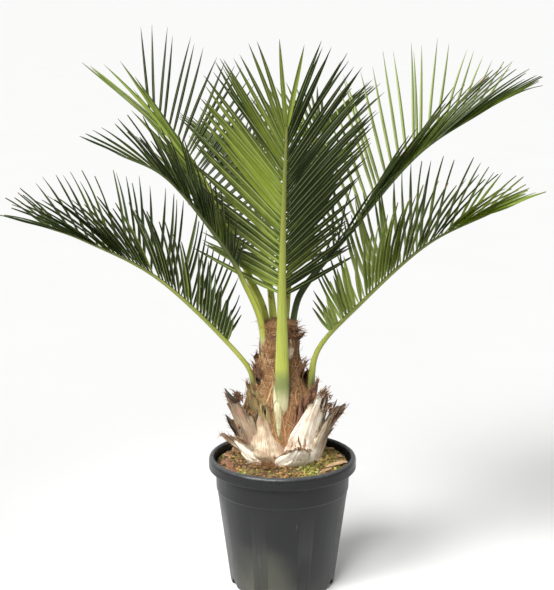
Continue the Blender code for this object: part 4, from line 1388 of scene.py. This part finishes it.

# How bright each frond's right and left leaflets are, which paints in the light and shade on each side, how
# many of the gaps between the CAD's leaflets hold one more, how wide the fine blades are beside the CAD's,
# and how bright its midrib is, which paints in the midrib's light and shade
LEAFLET_LOOKS = {
    "frond_front": ((0.62, 0.20, 0.82), (-0.14, 0.20, 0.78), 0.58),
    "frond_lower_left": ((0.22, 0.60, 0.66), (0.10, 0.80, 0.84), 0.42),
    "frond_lower_right": ((0.62, 0.50, 0.86), (0.66, 0.50, 0.74), 0.40),
    "frond_upper_left": ((0.10, 0.10, 0.55), (0.74, 0.30, 0.74), 0.70),
    "frond_mid_left": ((0.20, 0.60, 0.70), (0.16, 0.60, 0.70), 0.15),
    "frond_upper_right": ((0.12, 0.70, 0.74), (1.90, 0.15, 0.48), 0.04),
    "frond_back_right": ((0.50, 0.30, 0.66), (0.62, 0.30, 0.66), 0.40),
    "frond_back": ((0.52, 0.30, 0.66), (0.56, 0.30, 0.66), 0.40),
}
FILL_CLEARANCE = 0.0004
FILL_LENGTHS = (1.0, 0.9, 0.75, 0.6)
FILL_LIFTS = (0, 3, -3, 6, -6, 10, -10)
BLADE_OUTLINE = (
    (0, 0.30), (0.04, 0.46), (0.10, 0.72), (0.19, 0.93), (0.30, 1.0), (0.44, 0.96), (0.58, 0.86),
    (0.72, 0.69), (0.84, 0.47), (0.94, 0.22), (1, 0.03))
BLADE_COLUMNS = (-1, -0.60, -0.24, -0.07, 0, 0.07, 0.24, 0.60, 1)
UPPER_SIDE = 1
UNDER_SIDE = 2
MIDRIB_SHARE = 0.1
MIDRIB_DEPTH = 0.0008
BLADE_FOLD = 0.0046
BLADE_EDGE_DROP = 0.0012
BLADE_THICKNESS = 0.0004
BLADE_WAVE = 0.0008
BLADE_SWAY = 0.022
BLADE_TURN = 0.25
TONE_PATCHES = 0.45
TONE_SPREAD = 0.18
EVEN_TONE = ((0, 0), (1, 0))
# What a frond's right or left leaflets add to their tone, from the stalk to the tip: painted light and shade
# along the frond, up to a pale painted glow at the front frond's tip
TONES_ALONG = {
    ("frond_front", True): (
        (0, 0.0), (0.20, -0.12), (0.36, -0.10), (0.50, 0.38), (0.62, 0.28), (0.73, -0.28), (0.84, 0.0),
        (0.95, 0.25), (1, 0.7)),
    ("frond_front", False): (
        (0, 0.0), (0.30, 0.0), (0.50, -0.10), (0.935, 0.0), (0.97, 0.2), (0.98, 1.5), (1, 1.6)),
    ("frond_upper_right", True): ((0, -0.1), (0.35, 0.0), (0.50, 0.40), (0.80, 0.30), (1, 0.10)),
    ("frond_lower_left", False): ((0, 0.25), (0.30, 0.10), (0.50, -0.05), (1, -0.10)),
    ("frond_lower_right", True): (
        (0, 0.45), (0.34, 0.40), (0.46, -0.05), (0.75, -0.20), (0.88, 0.25), (1, 0.5)),
    ("frond_lower_right", False): (
        (0, 0.30), (0.34, 0.30), (0.46, -0.10), (0.75, -0.20), (0.88, 0.25), (1, 0.5)),
}
# The left one of the two leaflets that end the front frond
FRONT_TIP_LEAFLET = dict(place=0.991, angle=9, lift=19, twist=29, length=0.215, width=0.015)
FINE_SECTION = (
    (-0.78, 0.60), (-0.40, 0.52), (0, 0.49), (0.40, 0.52), (0.78, 0.60), (0.96, 0.38), (1.0, 0.02),
    (0.92, -0.38), (0.72, -0.74), (0.40, -0.96), (0, -1.03), (-0.40, -0.96), (-0.72, -0.74),
    (-0.92, -0.38), (-1.0, 0.02), (-0.96, 0.38))
FINE_RIB_ROWS = 90
# Half width of the sheath below the front stalk, its lowest and highest height, and its turn round the
# stem from the stalk
FRONT_SHEATH = (0.0165, 0.420, 0.545, -9)
FRONT_SHEATH_ROWS = 24
FRONT_SHEATH_COLUMNS = 12
FRONT_SHEATH_RIDGES = 0.0009
FRONT_SHEATH_LIFT = 0.0008
FRONT_SHEATH_SWELL = 0.0040
FRONT_SHEATH_ROOT = 0.003
PALE_FOOT = 0.085
# How far up each low stalk its web reaches
WEB_REACHES = {"frond_front": 0.030, "frond_lower_left": 0.240, "frond_lower_right": 0.250}
WEB_ROWS = 18
WEB_COLUMNS = 16
WEB_THICKNESS = 0.0012
WEB_START = 0.002
WEB_TURN = 0.75
LEAST_WEB = 0.15
WEB_LIFT = 0.003
WEB_OFF_STEM = 0.0005
WEB_RIPPLE = 0.0035
WEB_FRAYS = 60
WEB_FRAY_LENGTHS = (0.006, 0.026)
WEB_FRAY_ROOT = 0.004
WEB_SLITS = 9
WEB_TEARING = 0.45
WEB_HAIR_RADIUS = 0.0007


def smooth_path(points, steps):
    """Evenly spaced points on a smooth curve through the given points."""
    padded = [2 * points[0] - points[1], *points, 2 * points[-1] - points[-2]]
    fine = []
    for before, start, end, after in zip(padded, padded[1:], padded[2:], padded[3:]):
        for k in range(PATH_STEPS):
            t = k / PATH_STEPS
            fine.append(0.5 * (
                2 * start + (end - before) * t + (2 * before - 5 * start + 4 * end - after) * t ** 2
                + (3 * start - before - 3 * end + after) * t ** 3))
    fine.append(points[-1])
    fine = np.array(fine)
    along = np.concatenate([[0], np.cumsum(np.linalg.norm(np.diff(fine, axis=0), axis=1))])
    wanted = np.linspace(0, along[-1], steps + 1)
    return np.stack([np.interp(wanted, along, fine[:, axis]) for axis in (0, 1)], axis=1)


class Rib:
    """A frond's stalk and midrib: places and directions along it, from 0 at its foot to 1 at its tip."""

    STEPS = 96

    def __init__(self, azimuth, path):
        self.outwards = on_circle(1, math.radians(azimuth))
        self.side = self.outwards.cross(UP)
        self.points = smooth_path([np.array(point) for point in path], self.STEPS)

    def at(self, share):
        """Place, direction, upper side and right-hand side at a share of the length."""
        k = min(self.STEPS - 1, max(0, share * self.STEPS))
        low = int(k)
        part = share * self.STEPS - low
        here = self.points[low] * (1 - part) + self.points[low + 1] * part
        before = self.points[max(0, low - 2)]
        after = self.points[min(self.STEPS, low + 3)]
        run, rise = (after - before) / np.linalg.norm(after - before)
        place = CROWN_SHIFT + self.outwards * here[0] + UP * here[1]
        along = self.outwards * run + UP * rise
        upper = self.outwards * -rise + UP * run
        return place, along, upper, self.side


def rib_sections(rib, frond, stations, section, grow=0.0):
    """Sections of the stalk and midrib at the given stations."""
    stalk = frond["stalk"]
    foot, clasp, middle, start = frond["half_widths"]
    widths = (
        (0, foot), (stalk * 0.3, clasp), (stalk * 0.65, middle), (stalk, start),
        ((1 + stalk) / 2, start * 0.6), (1, TIP_HALF_WIDTH))
    depth = frond["half_depth"]
    depths = (
        (0, depth), (stalk * 0.5, 0.8 * depth), (stalk, START_HALF_DEPTH),
        ((1 + stalk) / 2, MIDDLE_HALF_DEPTH), (1, TIP_HALF_WIDTH))
    rings = []
    for share in stations:
        place, along, upper, side = rib.at(share)
        if share == 0:
            place = place - along * grow
        wide = interpolate(widths, share) + grow
        deep = interpolate(depths, share) + grow
        rings.append([place + side * (wide * a) + upper * (deep * b) for a, b in section])
    return rings


def spear_room():
    """Four-sided sections of the room that the CAD keeps round the folded new leaf."""
    rib = Rib(SPEAR_AZIMUTH, SPEAR_PATH)
    rings = []
    for share in SPEAR_STATIONS:
        place, along, upper, side = rib.at(share)
        if share == 0:
            place = place - along * CLEARANCE
        half = SPEAR_HALF_WIDTH * (1 - 0.8 * share ** 2) + CLEARANCE
        rings.append([place + side * half, place + upper * half, place - side * half, place - upper * half])
    return rings


class Leaflet:
    """A narrow blade that grows from the midrib and droops a little."""

    def __init__(self, rib, right, place, angle, lift, twist, length, width):
        self.settings = (place, angle, lift, twist, length, width)
        self.rib = rib
        self.right = right
        root, along, upper, side = rib.at(place)
        side = side * (1 if right else -1)
        angle = math.radians(angle)
        lift = math.radians(lift)
        self.start = root - upper * ROOT_DEPTH
        self.length = length
        self.width = width
        outwards = side * math.cos(lift) + upper * math.sin(lift)
        self.direction = along * math.cos(angle) + outwards * math.sin(angle)
        flat = (along - self.direction * along.dot(self.direction)).normalized()
        face = upper * math.cos(lift) - side * math.sin(lift)
        twist = math.radians(twist)
        self.across = flat * math.cos(twist) + face * math.sin(twist)
        self.face = face * math.cos(twist) - flat * math.sin(twist)

    def centre(self, share):
        sag = LEAFLET_DROOP * self.length * share * share
        return self.start + self.direction * (self.length * share) - self.face * sag

    def rings(self, stations, grow=0.0):
        """Sections of the blade, or of the room round it where it is grown."""
        rings = []
        for share, wide in stations:
            middle = self.centre(share)
            edge = self.across * (self.width * wide / 2 + grow)
            ridge = self.face * (LEAFLET_RIDGE + grow)
            room = self.face * grow
            if grow:
                below = [middle - edge - room, middle + edge - room]
                rings.append([*below, middle + edge + room, middle + ridge, middle - edge + room])
            else:
                rings.append([middle - edge, middle + edge, middle + ridge])
        return rings

    def hull(self, stations, grow=0.0):
        """The corner points of the blade, or of the room round it, and a search tree of its faces."""
        rings = self.rings(stations, grow)
        count = len(rings[0])
        points = [point for ring in rings for point in ring]
        points.append(self.centre(1) + self.direction * (3 * grow))
        last = count * (len(rings) - 1)
        faces = []
        for a, b, c, d in faces_between(len(rings), count):
            faces += [(a, b, c), (a, c, d)]
        faces += [(last + k, last + (k + 1) % count, len(points) - 1) for k in range(count)]
        return points, BVHTree.FromPolygons(points, faces, all_triangles=True)


class Surroundings:
    """Everything placed so far, against which a new leaflet is tried.

    Leaflets of one frond may touch at their roots, so between them only the free part counts.
    """

    def __init__(self):
        self.lows = np.zeros((0, 3))
        self.highs = np.zeros((0, 3))
        self.whole = []
        self.free = []
        self.owners = []

    def add(self, points, whole, free, owner):
        points = np.array(points)
        self.lows = np.vstack([self.lows, points.min(axis=0)])
        self.highs = np.vstack([self.highs, points.max(axis=0)])
        self.whole.append(whole)
        self.free.append(free)
        self.owners.append(owner)

    def add_stalk(self, rings, owner):
        """A stalk or rib, which its own leaflets grow from."""
        points = [point for ring in rings for point in ring]
        faces = faces_between(len(rings), len(rings[0]))
        self.add(points, BVHTree.FromPolygons(points, faces), None, owner)

    def add_leaflet(self, leaflet, owner):
        points, whole = leaflet.hull(BLADE_STATIONS)
        self.add(points, whole, leaflet.hull(FREE_STATIONS)[1], owner)

    def has_room_for(self, leaflet, owner, clearance):
        points, whole = leaflet.hull(BLADE_STATIONS, clearance)
        free = leaflet.hull(FREE_STATIONS, clearance)[1]
        points = np.array(points)
        near = np.all((self.lows <= points.max(axis=0)) & (self.highs >= points.min(axis=0)), axis=1)
        for k in np.flatnonzero(near):
            if self.owners[k] != owner:
                touches = whole.overlap(self.whole[k])
            else:
                touches = self.free[k] and free.overlap(self.free[k])
            if touches:
                return False
        return True

    def first_that_fits(self, owner, clearance, tries):
        """The first of the tried leaflets that has room, which is then placed, or None."""
        for leaflet in tries:
            if self.has_room_for(leaflet, owner, clearance):
                self.add_leaflet(leaflet, owner)
                return leaflet
        return None


def place_leaflets(name, frond, rib, surroundings):
    """The CAD's leaflets, each turned, lifted or shortened as little as keeps it clear of the others."""
    draw = random.Random(name)
    placed = []
    pairs = frond["pairs"]
    stalk = frond["stalk"]
    base = frond.get("base_share", BASE_SHARE)
    lengths = ((0, base), *LENGTH_SHARES, (1, frond["tip_leaflet"] / frond["leaflet"]))
    for pair in range(pairs):
        share = pair / (pairs - 1)
        for right in (True, False):
            lift = float(np.interp(share, (0, 0.5, 1), frond["right_lift" if right else "left_lift"]))
            place = stalk + (LAST_PAIR - stalk) * (pair + (0.5 if right else 0.2)) / pairs
            spread = frond.get("right_spread" if right else "left_spread", 0)
            size = frond.get("right_size" if right else "left_size", 1)
            angle = max(LEAST_ANGLE, interpolate(ANGLES_TO_RIB, share) + spread) + draw.uniform(-2, 2)
            own_lift = lift + draw.uniform(-3, 3)
            twist = LEAFLET_TWIST + draw.uniform(-5, 5)
            length = size * frond["leaflet"] * interpolate(lengths, share) * draw.uniform(0.95, 1.04)
            width = LEAFLET_WIDTH * (0.72 + 0.28 * math.sin(math.pi * min(1, 0.15 + share)))
            tries = product(LENGTH_TRIES, LIFT_TRIES, ANGLE_TRIES)
            leaflet = surroundings.first_that_fits(name, CLEARANCE, (
                Leaflet(rib, right, place, angle + turned, own_lift + lifted, twist, length * shorter, width)
                for shorter, lifted, turned in tries))
            if leaflet:
                placed.append(leaflet)
    return placed


def fill_gaps(name, leaflets, surroundings):
    """More leaflets between each frond's own, halfway between their neighbours where there is room."""
    draw = random.Random(f"{name} more")
    added = []
    for right, (_, share_filled, _) in zip((True, False), LEAFLET_LOOKS[name]):
        side = [leaflet for leaflet in leaflets if leaflet.right == right]
        for before, after in zip(side, side[1:]):
            if draw.random() > share_filled:
                continue
            middle = [(a + b) / 2 for a, b in zip(before.settings, after.settings)]
            place, angle, lift, twist, length, width = middle
            length *= draw.uniform(0.88, 1.02)
            width *= draw.uniform(0.86, 1.0)
            leaflet = surroundings.first_that_fits(name, FILL_CLEARANCE, (
                Leaflet(before.rib, right, place, angle, lift + lifted, twist, length * shorter, width)
                for shorter, lifted in product(FILL_LENGTHS, FILL_LIFTS)))
            if leaflet:
                added.append(leaflet)
    return added


def add_blade(skin, leaflet, breadth, tone, age, draw):
    """The fine blade of a leaflet: folded along a raised midrib, waved at its edges, thin all over."""
    top = np.array(BLADE_COLUMNS)
    across = np.concatenate([top, top[-2:0:-1]])
    lower = np.arange(len(across)) >= len(top)
    fold = BLADE_FOLD * (1 - np.abs(across)) ** 1.1 - BLADE_EDGE_DROP
    depth = np.where(lower, BLADE_THICKNESS + MIDRIB_DEPTH * (np.abs(across) < MIDRIB_SHARE), 0)
    sway = draw.gauss(0, BLADE_SWAY) * leaflet.length
    droop = abs(draw.gauss(0, BLADE_SWAY)) * leaflet.length
    phase = draw.uniform(0, math.tau)
    turn = draw.gauss(0, BLADE_TURN)
    rings = []
    for share, wide in BLADE_OUTLINE:
        centre = leaflet.centre(share) + leaflet.across * (sway * share ** 2)
        centre -= leaflet.face * (droop * share ** 3)
        spin = turn * share
        out = leaflet.across * math.cos(spin) + leaflet.face * math.sin(spin)
        face = leaflet.face * math.cos(spin) - leaflet.across * math.sin(spin)
        wave = BLADE_WAVE * math.sin(9 * share + phase) * across ** 2
        height = (fold - depth * min(1, wide * 2)) * (0.35 + 0.65 * wide) + wave
        half = leaflet.width * breadth * wide / 2
        rings.append(np.array(centre) + np.outer(across * half, out) + np.outer(height, face))
    finishes = [UPPER_SIDE] * (len(top) - 1) + [UNDER_SIDE] * (len(across) - len(top) + 1)
    shares = [share for share, _ in BLADE_OUTLINE]
    skin.add_loft(rings, along=shares, across=across, finishes=finishes, tone=tone, age=age)


def make_frond(name, rib, frond, leaflets, materials):
    """A frond's stalk, midrib and leaflets as one piece."""
    draw = random.Random(f"{name} looks")
    right_look, left_look, painted_midrib_light = LEAFLET_LOOKS[name]
    skin = Skin("along", "across", "tone", "age")
    shares = np.linspace(0, 1, FINE_RIB_ROWS + 1)
    rings = rib_sections(rib, frond, shares, FINE_SECTION)
    across = [a for a, _ in FINE_SECTION]
    # The midrib's tone is its painted light and shade.
    skin.add_loft(rings, along=shares, across=across, tone=painted_midrib_light, age=float(name in WEB_REACHES))
    for leaflet in leaflets:
        # A leaflet's tone paints in the light and shade on its side of the frond, varied at random in
        # patches.
        tone, _, breadth = right_look if leaflet.right else left_look
        place = leaflet.settings[0]
        patch = rough_at(place * 7, len(name), leaflet.right)
        tone += TONE_PATCHES * patch + draw.gauss(0, TONE_SPREAD)
        share = (place - frond["stalk"]) / (1 - frond["stalk"])
        tone += interpolate(TONES_ALONG.get((name, leaflet.right), EVEN_TONE), share)
        add_blade(skin, leaflet, breadth, tone, draw.random(), draw)
    piece = skin.piece(f"{name}_fine", materials, "leaf", sharp=28)
    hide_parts(name)


def make_spear(materials):
    """The folded new leaf: a slender bundle with pleats along it."""
    rib = Rib(SPEAR_AZIMUTH, SPEAR_PATH)
    skin = Skin("along", "across", "tone", "age")
    shares = np.linspace(0, 1, SPEAR_ROWS)
    angles = ring_angles(SPEAR_SIDES)
    rings = []
    for share in shares:
        place, _, upper, side = rib.at(share)
        half = SPEAR_HALF_WIDTH * (1 - 0.8 * share ** 2)
        ring = []
        for k, around in enumerate(angles):
            square = 1 / (abs(math.cos(around)) + abs(math.sin(around))) ** 0.6
            out = half * 0.92 * square * (1 if k % 2 else SPEAR_PLEAT)
            ring.append(place + side * (out * math.cos(around)) + upper * (out * math.sin(around)))
        rings.append(ring)
    skin.add_loft(rings, along=0.3 + 0.7 * shares, across=np.cos(angles), tone=0.9)
    piece = skin.piece("spear_fine", materials, "leaf", sharp=30)
    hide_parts("spear")


def make_fronds(stalk_material):
    """All the fronds, each with the CAD's leaflets and more between them, and the spear."""
    upper = leaf_finish("leaflet upper side", False)
    under = leaf_finish("leaflet under side", True)
    materials = [stalk_material, upper, under]
    ribs = {name: Rib(frond["azimuth"], frond["path"]) for name, frond in FRONDS.items()}
    surroundings = Surroundings()
    surroundings.add_stalk(spear_room(), "spear")
    for name, frond in FRONDS.items():
        rings = rib_sections(ribs[name], frond, RIB_STATIONS, RIB_SECTION, CLEARANCE)
        surroundings.add_stalk(rings, name)
    leaflets = {}
    for name, frond in FRONDS.items():
        leaflets[name] = place_leaflets(name, frond, ribs[name], surroundings)
    for name, frond in FRONDS.items():
        leaflets[name] += fill_gaps(name, leaflets[name], surroundings)
        if name == "frond_front":
            leaflets[name].append(Leaflet(ribs[name], right=False, **FRONT_TIP_LEAFLET))
        make_frond(name, ribs[name], frond, leaflets[name], materials)
    make_spear(materials)


# Stage

def make_sun(name, towards, strength, softness):
    """An even light from a direction, as from a large far window."""
    data = bpy.data.lights.new(name, "SUN")
    data.energy = strength
    data.angle = math.radians(softness)
    lamp = add_to_scene(name, data)
    lamp.rotation_euler = Vector(towards).to_track_quat("Z", "Y").to_euler()


def make_panel(name, place, towards, size, power, spread):
    """A soft rectangular light that reaches only a narrow cone."""
    data = bpy.data.lights.new(name, "AREA")
    data.shape = "RECTANGLE"
    data.size, data.size_y = size
    data.energy = power
    data.spread = math.radians(spread)
    panel = add_to_scene(name, data, place)
    panel.rotation_euler = (Vector(towards) - Vector(place)).to_track_quat("-Z", "Y").to_euler()


def make_stage():
    """A pale floor that reaches the horizon, white surroundings, two lights and the camera."""
    mesh = bpy.data.meshes.new("floor")
    corners = [(x * FLOOR_REACH, y * FLOOR_REACH, 0) for x, y in ((-1, -1), (1, -1), (1, 1), (-1, 1))]
    mesh.from_pydata(corners, [], [(0, 1, 2, 3)])
    mesh.materials.append(floor_finish())
    floor = add_to_scene("floor", mesh)

    world = bpy.data.worlds.new("studio")
    world.use_nodes = True
    world.node_tree.nodes["Background"].inputs["Color"].default_value = (1.0, 1.0, 1.0, 1)
    world.node_tree.nodes["Background"].inputs["Strength"].default_value = WORLD_STRENGTH
    bpy.context.scene.world = world
    make_sun("key", towards=(-0.62, -0.48, 0.66), strength=3.1, softness=26)
    make_panel("pot panel", (-0.40, -1.30, 1.45), (-0.02, -0.10, 0.30), (0.9, 0.5), power=2.2, spread=40)

    camera = add_to_scene("camera", bpy.data.cameras.new("camera"), CAMERA_PLACE)
    camera.rotation_euler = (math.radians(90 - CAMERA_DOWN), 0, 0)
    camera.data.sensor_fit = "VERTICAL"
    camera.data.sensor_height = SENSOR_HEIGHT
    camera.data.lens = CAMERA_LENS
    camera.data.clip_end = CAMERA_REACH
    bpy.context.scene.camera = camera
    bpy.context.scene.view_settings.view_transform = "Standard"


def main():
    make_stage()
    make_pot(pot_finish())
    make_soil(soil_finish())
    make_grains(grain_finish())
    make_moss(moss_finish())
    make_chips(bark_finish())
    make_core(core_finish())
    fibre = fibre_finish()
    make_leaf_bases(leaf_base_finish(), torn_sheath_finish(), fibre)
    make_shreds(fibre)
    make_fibres(fibre)
    make_tufts(fibre)
    stalk = stalk_finish()
    make_front_sheath(stalk)
    make_webs(fibre)
    make_fronds(stalk)


main()
